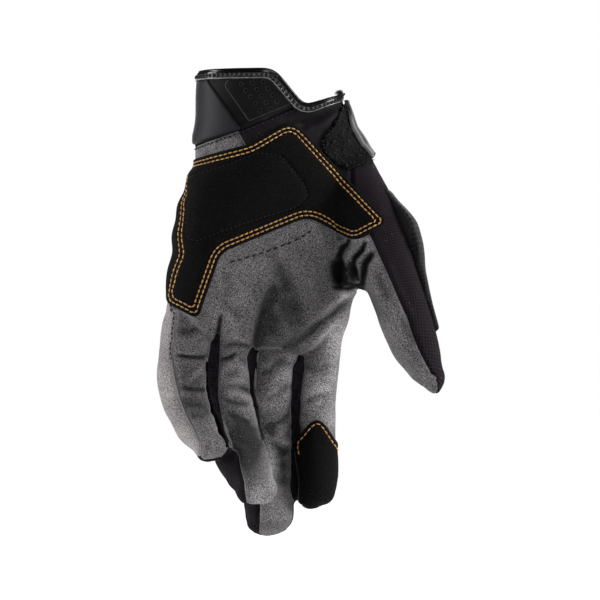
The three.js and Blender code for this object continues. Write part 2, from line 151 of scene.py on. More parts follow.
def tubePoints(name, at, degrees, dome=0.0, grow=0.0):
    # points of a tube's surface. at, degrees, dome and grow are arrays of one length or numbers
    form = handForm[name]
    at, degrees, dome, grow = (
        a.ravel() for a in np.broadcast_arrays(*map(np.atleast_1d, (at, degrees, dome, grow)))
    )
    middle, down, palm, side, across, thick = framesAt(name, at)
    c, s = np.cos(degrees * rad), np.sin(degrees * rad)
    shape = (abs(c) ** form["square"] + abs(s) ** form["square"]) ** (-1 / form["square"])
    turned = (degrees + 180) % 360 - 180
    press = sum(
        d * np.exp(-(((at - a) / reach) ** 2) - ((turned - angle) / spread) ** 2)
        for a, angle, reach, spread, d in form["dents"]
    )
    blunt = form.get("blunt", 1)
    taper = np.maximum(np.cos(dome), 0) ** blunt
    middle = middle + down * ((form["tip"] + grow) * np.sin(dome) ** blunt)[:, None]
    out = palm * ((thick + grow - press * np.maximum(c, 0)) * c * shape * taper)[:, None]
    return middle + out + side * ((across + grow - press * abs(s)) * s * shape * taper)[:, None]


# Mesh sums on arrays of points and triangles
def sidesOf(faces):
    # the three sides of every triangle, in its direction
    return np.concatenate([faces[:, [0, 1]], faces[:, [1, 2]], faces[:, [2, 0]]])


def edgesOf(faces):
    return np.unique(np.sort(sidesOf(faces), 1), axis=0)


def averaged(values, edges, count):
    # mean of each vertex's neighbours
    i, j = np.concatenate([edges, edges[:, ::-1]]).T
    near = np.maximum(np.bincount(i, minlength=count), 1)
    if values.ndim == 1:
        return np.bincount(i, values[j], count) / near
    return np.stack([np.bincount(i, values[j, k], count) for k in range(values.shape[1])], 1) / near[:, None]


def relaxed(values, edges, rounds, share=0.5):
    share = np.broadcast_to(share, (len(values),))
    share = share if values.ndim == 1 else share[:, None]
    for _ in range(rounds):
        values = values + share * (averaged(values, edges, len(values)) - values)
    return values


def normalsOf(points, faces):
    a, b, c = points[faces].transpose(1, 0, 2)
    n = np.cross(b - a, c - a)
    total = np.stack(
        [sum(np.bincount(faces[:, i], n[:, k], len(points)) for i in range(3)) for k in range(3)], 1
    )
    return unit(total)


def clipped(faces, field, *arrays):
    # the part of a surface where field is above 0, cut along field = 0, with each array carried over
    inside = field > 0
    count = inside[faces].sum(1)
    keep = faces[count == 3]
    cutRows, cutEdges = [], []
    for wanted, alone in ((1, True), (2, False)):
        some = faces[count == wanted]
        first = np.argmax(inside[some] == alone, 1)
        turned = np.stack([some[np.arange(len(some)), (first + k) % 3] for k in range(3)], 1)
        cutRows.append(turned)
        cutEdges += [turned[:, [0, 1]], turned[:, [0, 2]]]
    pairs, which = np.unique(np.sort(np.concatenate(cutEdges), 1), axis=0, return_inverse=True)
    which = which.ravel() + len(field)
    one, two = cutRows
    ab1, ac1, ab2, ac2 = np.split(which, np.cumsum([len(one), len(one), len(two)]))
    made = [
        keep,
        np.stack([one[:, 0], ab1, ac1], 1),
        np.stack([ab2, two[:, 1], two[:, 2]], 1),
        np.stack([ab2, two[:, 2], ac2], 1),
    ]
    i, j = pairs.T
    t = np.clip(field[i] / (field[i] - field[j] + 1e-12), 0.01, 0.99)
    out = []
    for a in (field, *arrays):
        f = t if a.ndim == 1 else t[:, None]
        out.append(np.concatenate([a, a[i] + f * (a[j] - a[i])]))
    out[0][len(field):] = 0
    return tidied(np.concatenate(made), *out)


def tidied(faces, *arrays):
    # drops what no face uses
    used, new = np.unique(faces, return_inverse=True)
    return (new.reshape(faces.shape), *[a[used] for a in arrays])


def biggestPart(faces, *arrays, least=1.0):
    # drops the loose slivers of a cut: the parts with less than this share of the biggest one's faces
    count = len(arrays[0])
    label = np.arange(count)
    edges = edgesOf(faces)
    while True:
        low = np.minimum(label[edges[:, 0]], label[edges[:, 1]])
        new = label.copy()
        np.minimum.at(new, edges[:, 0], low)
        np.minimum.at(new, edges[:, 1], low)
        new = new[new]
        if (new == label).all():
            break
        label = new
    size = np.bincount(label[faces[:, 0]], minlength=count)
    return tidied(faces[size[label[faces[:, 0]]] >= max(least * size.max(), 1)], *arrays)


def borderOf(faces):
    # edges with a face on one side only, in that face's direction
    ways = sidesOf(faces)
    _, which, count = np.unique(np.sort(ways, 1), axis=0, return_inverse=True, return_counts=True)
    return ways[count[which.ravel()] == 1]


def gridFaces(a, b, c, d):
    # two triangles for each four-sided cell
    return np.concatenate([np.stack(corners, -1).reshape(-1, 3) for corners in ((a, b, c), (a, c, d))])


def turnedOut(points, faces):
    # a closed surface whose faces point outwards
    a, b, c = points[faces].transpose(1, 0, 2)
    return faces[:, ::-1] if (a * np.cross(b, c)).sum() < 0 else faces


def walled(top, bottom, faces):
    # a closed shell between two surfaces of the same faces
    count = len(top)
    a, b = borderOf(faces).T
    sides = np.concatenate([np.stack([b, a, a + count], 1), np.stack([b, a + count, b + count], 1)])
    return np.concatenate([top, bottom]), np.concatenate([faces, faces[:, ::-1] + count, sides])


def makeObject(name, points, faces, sharp=50, **values):
    mesh = bpy.data.meshes.new(name)
    mesh.vertices.add(len(points))
    mesh.vertices.foreach_set("co", (points * mm).astype(np.float32).ravel())
    mesh.loops.add(faces.size)
    mesh.loops.foreach_set("vertex_index", faces.astype(np.int32).ravel())
    mesh.polygons.add(len(faces))
    mesh.polygons.foreach_set("loop_start", np.arange(0, faces.size, faces.shape[1], dtype=np.int32))
    mesh.update(calc_edges=True)
    mesh.shade_smooth()
    if sharp:
        mesh.set_sharp_from_angle(angle=sharp * rad)
    for key, value in values.items():
        mesh.attributes.new(key, "FLOAT", "POINT").data.foreach_set("value", value.astype(np.float32))
    made = bpy.data.objects.new(name, mesh)
    bpy.context.scene.collection.objects.link(made)
    return made


def meshArrays(mesh):
    # points in mm and triangles
    points = np.zeros(len(mesh.vertices) * 3, np.float32)
    mesh.vertices.foreach_get("co", points)
    mesh.calc_loop_triangles()
    faces = np.zeros(len(mesh.loop_triangles) * 3, np.int32)
    mesh.loop_triangles.foreach_get("vertices", faces)
    return points.reshape(-1, 3).astype(float) / mm, faces.reshape(-1, 3).astype(int)


# The skin: all tubes joined into one smooth surface
skinLook = {
    "voxel": 1.0,
    "sides": 96,
    "step": 1.4,
    "fillet": 3.5,  # how far from a meeting line the joined tubes are softened
    "filletRounds": 26,
}


def tubeRings(name):
    last = len(handForm[name]["rows"]) - 1
    ends = rowsAt(name, np.arange(last + 1.0))[:, :3]
    length = np.linalg.norm(np.diff(ends, axis=0), axis=1).sum()
    shaft = np.linspace(0, last, int(length / skinLook["step"]))
    domes = np.linspace(0, 90, 15)[1:-1] * rad
    at = np.concatenate([shaft, np.full(len(domes), last)])
    dome = np.concatenate([0 * shaft, domes])
    sides = skinLook["sides"]
    degrees = np.arange(sides) * 360 / sides
    rings = tubePoints(name, np.repeat(at, sides), np.tile(degrees, len(at)), np.repeat(dome, sides))
    hubs = [framesAt(name, 0)[0][0], tubePoints(name, last, 0, math.pi / 2)[0]]
    return rings, len(at), sides, hubs


def tubeMesh(name):
    rings, rows, sides, hubs = tubeRings(name)
    grid = np.arange(rows * sides).reshape(rows, sides)
    beside = np.roll(grid, -1, 1)
    first, last = grid[0], grid[-1]
    top, end = rows * sides, rows * sides + 1
    points = np.concatenate([rings, hubs])
    return points, turnedOut(points, np.concatenate([
        gridFaces(grid[:-1], beside[:-1], beside[1:], grid[1:]),
        np.stack([np.full(sides, top), np.roll(first, -1), first], 1),
        np.stack([np.full(sides, end), last, np.roll(last, -1)], 1),
    ]))


def remeshed(points, faces, voxel):
    rough = makeObject("rough", points, faces, 0)
    remesh = rough.modifiers.new("remesh", "REMESH")
    remesh.mode = "VOXEL"
    remesh.voxel_size = voxel * mm
    mesh = bpy.data.meshes.new_from_object(rough.evaluated_get(bpy.context.evaluated_depsgraph_get()))
    out = meshArrays(mesh)
    bpy.data.objects.remove(rough)
    bpy.data.meshes.remove(mesh)
    return out


class Along:
    # where points lie on one tube: at, angle, gap (mm outside its surface), radius and taper there
    def __init__(self, name, points):
        form = handForm[name]
        last = len(form["rows"]) - 1
        stations = np.linspace(-0.5, last, 90)
        middle = framesAt(name, stations)[0]
        near = np.empty(len(points), int)
        for k in range(0, len(points), 20000):
            part = points[k:k + 20000]
            near[k:k + 20000] = ((part[:, None] - middle[None]) ** 2).sum(2).argmin(1)
        at = stations[near]
        step = stations[1] - stations[0]
        for _ in range(2):
            middle, down = framesAt(name, at)[:2]
            ahead = ((points - middle) * down).sum(1)
            speed = np.linalg.norm(framesAt(name, at + 0.02)[0] - framesAt(name, at - 0.02)[0], axis=1) / 0.04
            at = np.clip(at + np.clip(ahead / speed, -step, step), -0.5, last)
        middle, down, palm, side, across, thick = framesAt(name, at)
        offset = points - middle
        ahead = (offset * down).sum(1)
        c, s = (offset * palm).sum(1), (offset * side).sum(1)
        dome = np.where(at >= last, np.clip(ahead / form["tip"], 0, 0.995), 0)
        power = 2 / form.get("blunt", 1)
        self.taper = taper = (1 - dome**power) ** (1 / power)
        self.angle = np.arctan2(s / across, c / thick) / rad
        size = (abs(c / thick) ** form["square"] + abs(s / across) ** form["square"]) ** (1 / form["square"])
        self.radius = np.hypot(c, s)
        gap = (size / taper - 1) * self.radius / np.maximum(size, 0.05) * taper
        beyond = np.where(at >= last, ahead - form["tip"], -99)
        self.gap = np.where(beyond > 0, np.maximum(gap, beyond), gap)
        self.at = at
        self.before = np.where(at <= -0.49, 99.0, -at * 10)  # how far above the tube's start


stage("frame loaded")
parts, offset = [], 0
for name in handForm:
    points, faces = tubeMesh(name)
    parts.append((points, faces + offset))
    offset += len(points)
skin, skinFaces = remeshed(*map(np.concatenate, zip(*parts)), skinLook["voxel"])
skinEdges = edgesOf(skinFaces)
stage(f"skin of {len(skin)} points")
along = {name: Along(name, skin) for name in handForm}
closeness = np.sort(np.stack([abs(a.gap) for a in along.values()]), 0)[1]
meeting = np.exp(-((closeness / skinLook["fillet"]) ** 2))
skin = relaxed(skin, skinEdges, 3, 0.5)
skin = relaxed(skin, skinEdges, skinLook["filletRounds"], 0.6 * meeting)
# the sections fan out at the wrist's outer side and end at the middle finger's root: both steps are smoothed
ledges = [
    # x, z, reach across and down, back to this y, rounds
    (-46, -49, 10, 10, 99, 90), (-1, -147, 13, 4.5, 8, 40),
]
for x, z, across, down, backTo, rounds in ledges:
    ledge = np.exp(-((((skin[:, 0] - x) / across) ** 2 + ((skin[:, 2] - z) / down) ** 2) ** 2))
    skin = relaxed(skin, skinEdges, rounds, 0.7 * ledge * (skin[:, 1] < backTo))
skinNormals = normalsOf(skin, skinFaces)
skinTrims = [
    # x, z, reach, mm outwards, tube: small corrections of the outline, seen from the palm's side
    (-42, -30, 9, 2.8, None), (-44, -40, 6, 3.2, None), (-45, -47, 4, 1.2, None), (-50, -60, 7, -3.0, None),
    (-54, -75, 8, -1.8, None), (-57, -93, 8, -2.4, None), (45, -14, 7, 1.6, None), (-60, -172, 9, -0.6, None),
    (-57, -190, 9, -1.6, None), (-45, -207, 8, -2.2, None), (76, -160, 7, -1.0, None),
    (84, -171, 6, -2.6, None),
    (48.5, -119, 6, -2.2, "hand"), (46.5, -126, 6, -1.6, "hand"), (60.5, -133, 8, 1.9, "thumb"),
    (93.5, -174, 3.5, 1.8, "thumb"), (-33, -212, 6, -1.2, "pinky"), (-27, -221, 7, -1.8, "ring"),
    (-17.5, -225, 4, -1.6, "ring"), (3, -253, 8, -1.4, "middle"), (13, -249, 5, -1.8, "middle"),
    (6, -253, 6, -0.8, "middle"), (30, -238, 6, -3.0, "index"),
]


def trimmed(points, onSkin=False):
    # mm outwards at these points. A trim of one tube counts on the skin alone
    out = np.zeros(len(points))
    for x, z, reach, swell, tube in skinTrims:
        if tube is None or onSkin:
            near = 1 if tube is None else np.clip(3 - along[tube].gap, 0, 1)
            out += near * swell * np.exp(-(((points[:, 0] - x) ** 2 + (points[:, 2] - z) ** 2) / reach**2))
    return out


skin = skin + skinNormals * trimmed(skin, True)[:, None]
ringEnd = -233  # the ring finger's end is sewn straight across
low = np.clip(ringEnd - skin[:, 2], 0, None) * (along["ring"].gap < 3) * (along["middle"].gap > 1)
skin[:, 2] += 0.85 * low
skinNormals = normalsOf(skin, skinFaces)
stage("skin softened")


# Outlines seen from the palm's side: x, z, corner radius
def roundedOutline(corners, steps=8):
    out = []
    ends = np.array([c[:2] for c in corners], float)
    for k, corner in enumerate(corners):
        radius = corner[2] if len(corner) > 2 else 0
        at = ends[k]
        arms = [ends[k - 1] - at, ends[(k + 1) % len(ends)] - at]
        if not radius:
            out.append(at)
            continue
        lengths = [np.linalg.norm(arm) for arm in arms]
        half = math.acos(np.clip(arms[0] @ arms[1] / lengths[0] / lengths[1], -1, 1)) / 2
        reach = min(radius / math.tan(half), lengths[0] * 0.48, lengths[1] * 0.48)
        a, b = (at + arm / length * reach for arm, length in zip(arms, lengths))
        for t in np.linspace(0, 1, steps + 1):
            out.append((1 - t) ** 2 * a + 2 * t * (1 - t) * at + t * t * b)
    return np.array(out)


def inOutline(corners, points):
    # mm inside the outline, below 0 outside it
    poly = roundedOutline(corners)
    x, z = points[:, 0], points[:, 2]
    best, inside = np.full(len(points), 1e9), np.zeros(len(points), bool)
    for (ax, az), (bx, bz) in zip(poly, np.roll(poly, -1, 0)):
        dx, dz = bx - ax, bz - az
        t = np.clip(((x - ax) * dx + (z - az) * dz) / (dx * dx + dz * dz + 1e-12), 0, 1)
        best = np.minimum(best, np.hypot(x - ax - t * dx, z - az - t * dz))
        if dz:
            inside ^= ((az > z) != (bz > z)) & (x < dx * (z - az) / dz + ax)
    return np.where(inside, best, -best)


def nearPath(path, points):
    # distance to a line seen from the palm's side, how far along it, and its length
    path = np.array(path, float)
    x, z = points[:, 0], points[:, 2]
    best, runAt, run = np.full(len(points), 1e9), np.zeros(len(points)), 0.0
    for (ax, az), (bx, bz) in zip(path[:-1], path[1:]):
        dx, dz = bx - ax, bz - az
        length = math.hypot(dx, dz)
        t = np.clip(((x - ax) * dx + (z - az) * dz) / length**2, 0, 1)
        d = np.hypot(x - ax - t * dx, z - az - t * dz)
        side = np.sign((x - ax) * dz - (z - az) * dx)
        closer = d < abs(best)
        best = np.where(closer, d * np.where(side == 0, 1, side), best)
        runAt = np.where(closer, run + t * length, runAt)
        run += length
    return best, runAt, run


def fading(run, length, share):
    # 0 at both ends of a line and 1 along its middle
    return np.clip(np.minimum(run, length - run) / (share * length), 0, 1)


def softNoise(points, size, seed):
    # smooth random values from -1 to 1, with lumps of this size in mm
    table = np.random.default_rng(seed).uniform(-1, 1, 4096)
    p = points / size
    base = np.floor(p).astype(int)
    f = p - base
    f = f * f * (3 - 2 * f)
    total = 0
    for corner in np.ndindex(2, 2, 2):
        i = base + np.array(corner)
        key = (i[:, 0] * 73 + i[:, 1] * 179 + i[:, 2] * 283) % 4096
        weight = np.prod(np.where(corner, f, 1 - f), 1)
        total = total + weight * table[key]
    return total


far = 120
cut = {
    "cuffTopFront": [
        [-far, 5.6], [1.2, 7.2, 12], [18, -13.3, 8], [36.4, -7, 3], [38.7, -2.4, 2], [far, 25], [far, -300],
        [-far, -300],
    ],
    "cuffTopBack": [
        [-far, 5.6], [-36, 5.6, 15], [17, -19, 6], [25, -16.2, 10], [32, -12, 8], [36.5, -8.6, 3],
        [38.3, -3.2, 2], [far, 22], [far, -300],
        [-far, -300],
    ],
    "cuffSeam": [[-far, -60.4], [-17.4, -26.2, 40], [14.4, -12.2, 40], [far, 34.3], [far, -300], [-far, -300]],
    "patch": [
        [-62, -47, 3], [-12, -34, 30], [11.5, -19.6, 11], [65.5, -78, 4], [47, -87.8, 10], [20.5, -74, 14],
        [-27.5, -94, 12], [-40.5, -131, 4], [-57, -122.5, 6], [-63, -100, 20], [-62, -70, 20],
    ],
    "fingertip": [
        [26, -183.6, 7], [13.4, -200.5, 3], [16.4, -222, 20], [15, -250], [45, -250], [38.5, -204, 3],
    ],
    "dark": [
        [-18.5, 30], [-18.5, -26], [-12, -37, 5], [30, -50], [54.8, -83.6], [61.4, -98], [66.3, -109],
        [71.2, -120.4],
        [76.4, -131.2], [far, -131.2], [far, 30],
    ],
    "radial": [[far, 40], [45, 40], [45, -62], [50, -116], [56, -145], [56, -190], [far, -190]],
    "gusset": [[-18.5, 40], [-18.5, -60], [45, -60], [45, 40]],
    "thumb": [[41.5, -84], [37.5, -99], [42.5, -112], [52, -116.5], [54, -190], [far, -190], [far, -84]],
    "loop": [
        [40, -11, 2], [42.6, -22.4, 6], [45.6, -29.5, 6], [50.4, -36, 6], [54.8, -40.6, 2],
        [57.2, -43.8, 2], [42.6, -48.4, 3],
        [29, -40, 2], [28.2, -30.8, 3], [34.6, -23.5, 4], [37, -16.5, 4],
    ],
    "pull": [[-26, -1, 4], [-20.5, 5, 3], [1, 6, 6], [12.5, -11.2, 1], [-12, -21.4, 1]],
    "sidePad": [
        [-far, 3.8], [-34.6, 3.8, 1], [-33.9, 1.4, 2], [-27.4, -8.4, 30], [-16.4, -25.4, 1], [-far, -61],
    ],
    "strap": [[-far, -70], [-far, -40], [70, 6], [70, -29]],
    "tab": [[35, -9.5, 3], [70, 4], [70, -27], [52, -44.5, 4]],
}
seams = {
    # degrees from the middle of the palm side towards the thumb
    "pinky": {"front": (-50, 70), "back": (126, 232)},
    "ring": {"front": (-62, 62), "back": (128, 232)},
    "middle": {"front": (-68, 64), "back": (128, 232)},
    "index": {"front": (-64, 84), "back": (84, 228)},
    "hand": {"front": (-108, 86)},
    "thumb": {"front": (-88, 76)},
    "web": {"front": (-100, 100)},
}
seamGap = 0.3


def between(name, low, high, reach=2.0):
    a = along[name]
    # on a fingertip the seams run on straight, so an angle there counts as it would on the shaft
    straight = np.arcsin(np.clip(a.taper * abs(np.sin(a.angle * rad)), 0, 1)) / rad
    straight = np.where(abs(a.angle) < 90, straight, 180 - straight) * np.sign(a.angle)
    turn = (straight - (low + high) / 2 + 180) % 360 - 180
    return np.minimum.reduce([((high - low) / 2 - abs(turn)) * rad * a.radius, reach - a.gap, -a.before])


tipEnds = {
    # where the suede of a fingertip ends, seen from the palm's side, the station where that takes over, and
    # how far towards the back it goes
    "pinky": ([
        [-55.7, -145.6], [-54, -158.3, 60], [-51.5, -170.9, 60], [-46.5, -183.6, 60], [-40.5, -194.6, 40],
        [-38.4, -199.6, 3], [-38.4, -215], [-10, -215], [-10, -145.6],
    ], 0.9, -0.45),
    "ring": ([
        [-26, -180], [-22.5, -190], [-18.9, -200.6, 20], [-13.2, -233, 1], [-8, -240], [9, -240], [9, -180],
    ], 5.0, 0.2),
    "middle": ([[-9, -205], [-6.3, -234, 10], [-6.8, -262], [24, -262], [24, -205]], 4.6, -0.1),
    "index": ([
        [8, -160], [12, -196], [15.2, -202, 2], [16.6, -222, 20], [15.2, -250], [60, -250], [60, -160],
    ], 4.0, 0.4),
}


def front(name):
    field = between(name, *seams[name]["front"])
    if name in tipEnds:
        outline, station, turned = tipEnds[name]
        a = along[name]
        end = np.minimum.reduce([inOutline(outline, skin), (turned - skinNormals[:, 1]) * 9, 2 - a.gap])
        share = np.clip((a.at - station) / 0.8, 0, 1)
        field = (1 - share) * field + share * end
    return field


fingerFronts = {name: front(name) for name in fingers}


def sideWall(name, side):
    front, back = seams[name]["front"], seams[name]["back"]
    low, high = (front[1] - 12, back[0]) if side > 0 else (back[1] - 360, front[0] + 60)
    return np.minimum(between(name, low, high), -fingerFronts[name])


def slit(rows):
    # the narrow top of the strip between two fingers: x, z and half its width
    path = [row[:2] for row in rows]
    d, run, _ = nearPath(path, skin)
    steps = np.linalg.norm(np.diff(path, axis=0), axis=1)
    return np.interp(run, np.append(0, np.cumsum(steps)), [row[2] for row in rows]) - abs(d)


# the pinky's side panel ends in a rounded tongue on the hand
tongue = np.minimum.reduce([
    between("hand", -122, -74), skin[:, 2] + 150,
    -114 - 14 * ((along["hand"].angle + 98) / 24) ** 2 - skin[:, 2],
])
slits = {
    ("pinky", "ring"): [
        (-30, -142, 1.4), (-31.4, -151.2, 2.1), (-32.2, -162.4, 2.8), (-31.6, -173.6, 1.9),
        (-28.8, -183.1, 0.9),
        (-26, -192, 0.3),
    ],
    ("ring", "middle"): [
        (-9.8, -149, 1.1), (-10.6, -152.9, 1.9), (-10.9, -158, 1.4), (-10.6, -163.5, 0.9), (-10.4, -170.2, 0.6),
        (-9, -180, 0.3),
    ],
    ("middle", "index"): [
        (16.8, -153.3, 1.3), (15.4, -159.6, 2.4), (14.6, -168, 2.6), (14, -176.4, 2.3), (13.7, -187.6, 2.0),
        (13.9, -199, 1.4),
    ],
}
walls = {"pinky_side_panel": np.maximum(sideWall("pinky", -1), tongue)} | {
    f"fourchette_{one}_{other}": np.maximum.reduce([sideWall(one, 1), sideWall(other, -1), slit(rows)])
    for (one, other), rows in slits.items()
}
anyWall = np.maximum.reduce(list(walls.values()))
upper = np.maximum.reduce([between(n, *seams[n]["front"]) for n in ("hand", "thumb", "web")])
upper = np.minimum(upper, -inOutline(cut["dark"], skin))
fronts = np.maximum.reduce(list(fingerFronts.values()))
suede = np.minimum(np.maximum(upper, fronts), -anyWall)
cloth = np.minimum(-np.maximum(upper, fronts), -anyWall)
palmSide = -skin[:, 1]
inGusset = np.minimum(inOutline(cut["gusset"], skin), palmSide)
inRadial = inOutline(cut["radial"], skin)
inThumb = inOutline(cut["thumb"], skin)


def belowCuffTop(points):
    # mm below the cuff's top edge, which has one outline in front and one behind
    front = np.clip(0.5 - points[:, 1] / 12, 0, 1)
    return front * inOutline(cut["cuffTopFront"], points) + (1 - front) * inOutline(cut["cuffTopBack"], points)


def belowSeam(points):
    # mm below the seam between the cuff and the hand
    return inOutline(cut["cuffSeam"], points)


underCuff = np.minimum(belowSeam(skin), belowCuffTop(skin) - 0.5)
regions = {
    "palm_panel": np.minimum(suede, -inThumb),
    "thumb_front_panel": np.minimum(suede, inThumb),
    "wrist_gusset": np.minimum(cloth, inGusset),
    "radial_panel": np.minimum.reduce([cloth, -inGusset, inRadial]),
    "back_panel": np.minimum.reduce([cloth, -inGusset, -inRadial]),
    **walls,
}
stage("seam lines laid out")


# Folds and gathers pressed into the skin
# Each row, in mm: path seen from the palm's side, width, depth, ridge on its first and on its second side.
skinFolds = [
    (
        [(44.4, -86.5), (39.9, -91.5), (38.1, -95.8), (39, -100.2), (40.5, -103.5), (42.8, -110)], 1.9, 5.0,
        0.3, 1.0,
    ),
    ([(37, -96), (36.6, -102), (38, -107.5), (41.5, -113)], 3.2, 6.0, 0, 0),
    (
        [(53.4, -87.5), (50.8, -92.7), (46.7, -97.1), (45.8, -100.8), (47, -103.6), (48.6, -110)], 1.5, 4.8,
        0.8, 0.8,
    ),
    ([(44.2, -102), (46, -109)], 2.4, 3.0, 0, 0),
    ([(57, -93.8), (52.3, -100.2), (51.6, -104.2), (51, -109.5)], 1.9, 4.6, 0.9, 0.2),
    ([(33, -113), (37.6, -113.6), (43.6, -114.2), (53, -113.8)], 1.0, 2.6, 1.2, 0.4),
    ([(45.5, -118.5), (41.8, -121.6), (33.8, -128.8), (25.8, -134.5), (9.9, -148.5)], 2.5, 1.5, 1.5, 0.9),
    ([(33, -141), (26, -147), (21, -152)], 1.8, 0.7, 0.7, 0.3),
    ([(18, -137), (8, -146), (-1, -153)], 2.4, 0.6, 0.4, 0.7),
    ([(-53.5, -150.8), (-47, -152), (-40, -152.6), (-33.6, -151.6)], 1.3, 2.2, 0.9, 0.5),
    ([(-51, -169), (-44, -170), (-34, -170.4)], 1.5, 1.6, 0.8, 0.3),
    ([(-45, -184), (-38, -184.5), (-33, -182)], 2.0, 0.7, 0.3, 0.3),
    ([(-29, -146.6), (-20.7, -144.8), (-10.5, -146.4)], 1.3, 1.3, 0.3, 1.3),
    ([(-29, -154), (-23, -152.5), (-19, -149.5)], 1.3, 1.4, 0.5, 0.6),
    ([(-27, -163), (-22, -161), (-19, -157.5)], 2.2, 1.2, 0.5, 0.8),
    ([(-28, -168), (-19, -168.4), (-8.5, -173)], 1.5, 1.5, 1.2, 0.5),
    ([(-28, -175.5), (-20, -178), (-12, -178)], 1.6, 1.3, 0.5, 0.7),
    ([(-27, -183), (-18, -186), (-9, -189)], 2.4, 1.0, 0.5, 0.3),
    ([(-22, -197), (-14, -200), (-7, -204)], 2.2, 0.8, 0.4, 0.4),
    ([(-6.5, -164), (2, -157), (11, -150)], 2.2, 0.9, 0.4, 0.6),
    ([(-5.5, -178), (3, -173), (12, -167)], 2.0, 1.1, 0.5, 0.5),
    ([(-4, -192), (4, -189), (12, -184)], 2.0, 1.0, 0.5, 0.3),
    ([(-3, -209), (5, -207), (12, -203)], 2.2, 0.8, 0.3, 0.4),
    ([(17, -178), (25, -174.5), (34, -174)], 1.8, 1.1, 0.6, 0.5),
    ([(17, -157), (26, -160), (35, -158)], 2.2, 0.7, 0.3, 0.4),
    ([(-8.7, -150), (-7.7, -144), (-5, -132), (-1.5, -122), (3, -110)], 3.4, 2.0, 0.2, 1.0),
    ([(-30.4, -144), (-29.4, -137), (-27.4, -127)], 1.5, 2.0, 0.5, 0.6),
    ([(-28, -118), (-22, -126), (-16, -132)], 3.0, 0.9, 0.3, 0.5),
    ([(-38, -134), (-45, -138), (-53, -139)], 2.2, 0.9, 0.3, 0.5),
    ([(-26, -104), (-24, -112), (-26, -120)], 3.4, 0.8, 0.4, 0.2),
    ([(2, -98), (8, -108), (10, -118)], 4.5, 0.7, 0.3, 0.3),
    ([(8, -24.5), (15.5, -23.5), (23.5, -21), (31, -16.5), (40, -11.5)], 1.6, 2.4, 1.4, 0.5),
    ([(26, -30), (34, -25), (40, -18)], 2.2, 1.4, 0.8, 0.4),
    ([(58, -103), (62, -112), (66, -122)], 3.0, 0.8, 0.3, 0.3),
    ([(70, -128), (76, -138), (82, -149)], 2.6, 0.6, 0.3, 0.3),
]
foldLook = {
    "limit": 5.0,  # no fold reaches the cloth behind it
    "size": 15, "height": 0.5, "fineSize": 5, "fineHeight": 0.16,  # the cloth's own unevenness
    "streak": 0.45, "creases": 0.75,
}
paintedFoldShadows = [
    # painted shadow in the bottoms of the deep folds and the slits between the fingers: path, width, how dark
    ([(43.5, -87.5), (39.9, -91.5), (38.1, -95.8), (39, -100.2), (40.8, -104)], 1.4, 1.0),
    ([(37.6, -101), (37.4, -106), (39.3, -110.6)], 3.7, 1.0),
    ([(41.5, -111), (46, -112.4), (50.5, -112.6)], 1.9, 1.0),
    ([(-10.6, -163), (-10.2, -170.2), (-8.1, -179), (-7.2, -184), (-6.4, -191), (-4.6, -198)], 1.0, 1.0),
    ([(-28.6, -184), (-26, -193), (-24, -199)], 0.8, 0.8),
    ([(52.3, -89), (50.8, -92.7), (46.7, -97.1), (45.8, -100.8), (47, -103.6), (48.4, -109)], 1.4, 1.0),
    ([(43.9, -101), (44.6, -105), (46, -109)], 2.4, 0.9),
    ([(56, -95.4), (52.8, -100.2), (51.9, -105.2), (51, -111.5)], 2.0, 1.0),
    ([(13, -22), (28, -17.6), (36, -13.7), (41.4, -9.9)], 1.7, 0.93),
    ([(37.4, -113.2), (43.6, -113.9), (51.7, -114)], 0.8, 0.9),
    ([(-9.3, -150), (-8.5, -144), (-6.3, -134), (-4, -126)], 1.3, 0.5),
    ([(-30.2, -144), (-29.3, -138), (-27.9, -130)], 1.2, 0.6),
    ([(-52, -151), (-44, -152.5), (-35, -151.8)], 0.8, 0.4),
    ([(-28, -154), (-23, -152.5), (-20, -150.5)], 0.8, 0.5),
]


def creasesOf(points):
    # long soft streaks on the palm that run up towards the thumb, short creases across the fingers, and
    # the share of the palm in both
    x, y, z = points.T
    streaks = np.stack([(x + 0.45 * z) / 6, y / 12, (0.45 * x - z) / 24], 1)
    creases = np.stack([(x - 0.3 * z) / 14, y / 10, (z + 0.25 * x) / 4.4], 1)
    return softNoise(streaks, 1, 21), softNoise(creases, 1, 22), np.clip((z + 150) / 8, 0, 1)


def bell(x):
    return np.exp(-(x**2))


def foldHeight(points):
    height, limit = np.zeros(len(points)), foldLook["limit"]
    for path, width, depth, ridgeOne, ridgeTwo in skinFolds:
        d, run, length = nearPath(path, points)
        ends = fading(run, length, 0.3)
        ends = ends * ends * (3 - 2 * ends)
        across = d / width
        height += ends * (ridgeOne * bell(across - 1.9) + ridgeTwo * bell(across + 1.9) - depth * bell(across))
    return np.where(height < 0, limit * np.tanh(height / limit), height)


facing = np.clip((-skinNormals[:, 1] - 0.05) / 0.5, 0, 1)
underPatch = np.clip(inOutline(cut["patch"], skin) / 3 + 1, 0, 1) * (skin[:, 1] < -5)
streaks, creases, onHand = creasesOf(skin)
press = foldHeight(skin) + foldLook["streak"] * streaks * onHand + foldLook["creases"] * creases * (1 - onHand)
press *= facing * (1 - underPatch)
press += foldLook["height"] * softNoise(skin, foldLook["size"], 3)
press += foldLook["fineHeight"] * softNoise(skin, foldLook["fineSize"], 4)
formed = relaxed(skin + skinNormals * press[:, None], skinEdges, 1, 0.3)
stage("folds pressed in")


# Panels: the skin cut along its seams, each a wall of cloth
panelLook = {
    "wall": 1.7,
    "roll": 0.75,  # the sewn edge turns in by this much
    "rollWidth": 0.9,
    "puff": 0.22,  # the cloth swells a little beside a seam
    "puffAt": 2.4,
}
pieces = {}


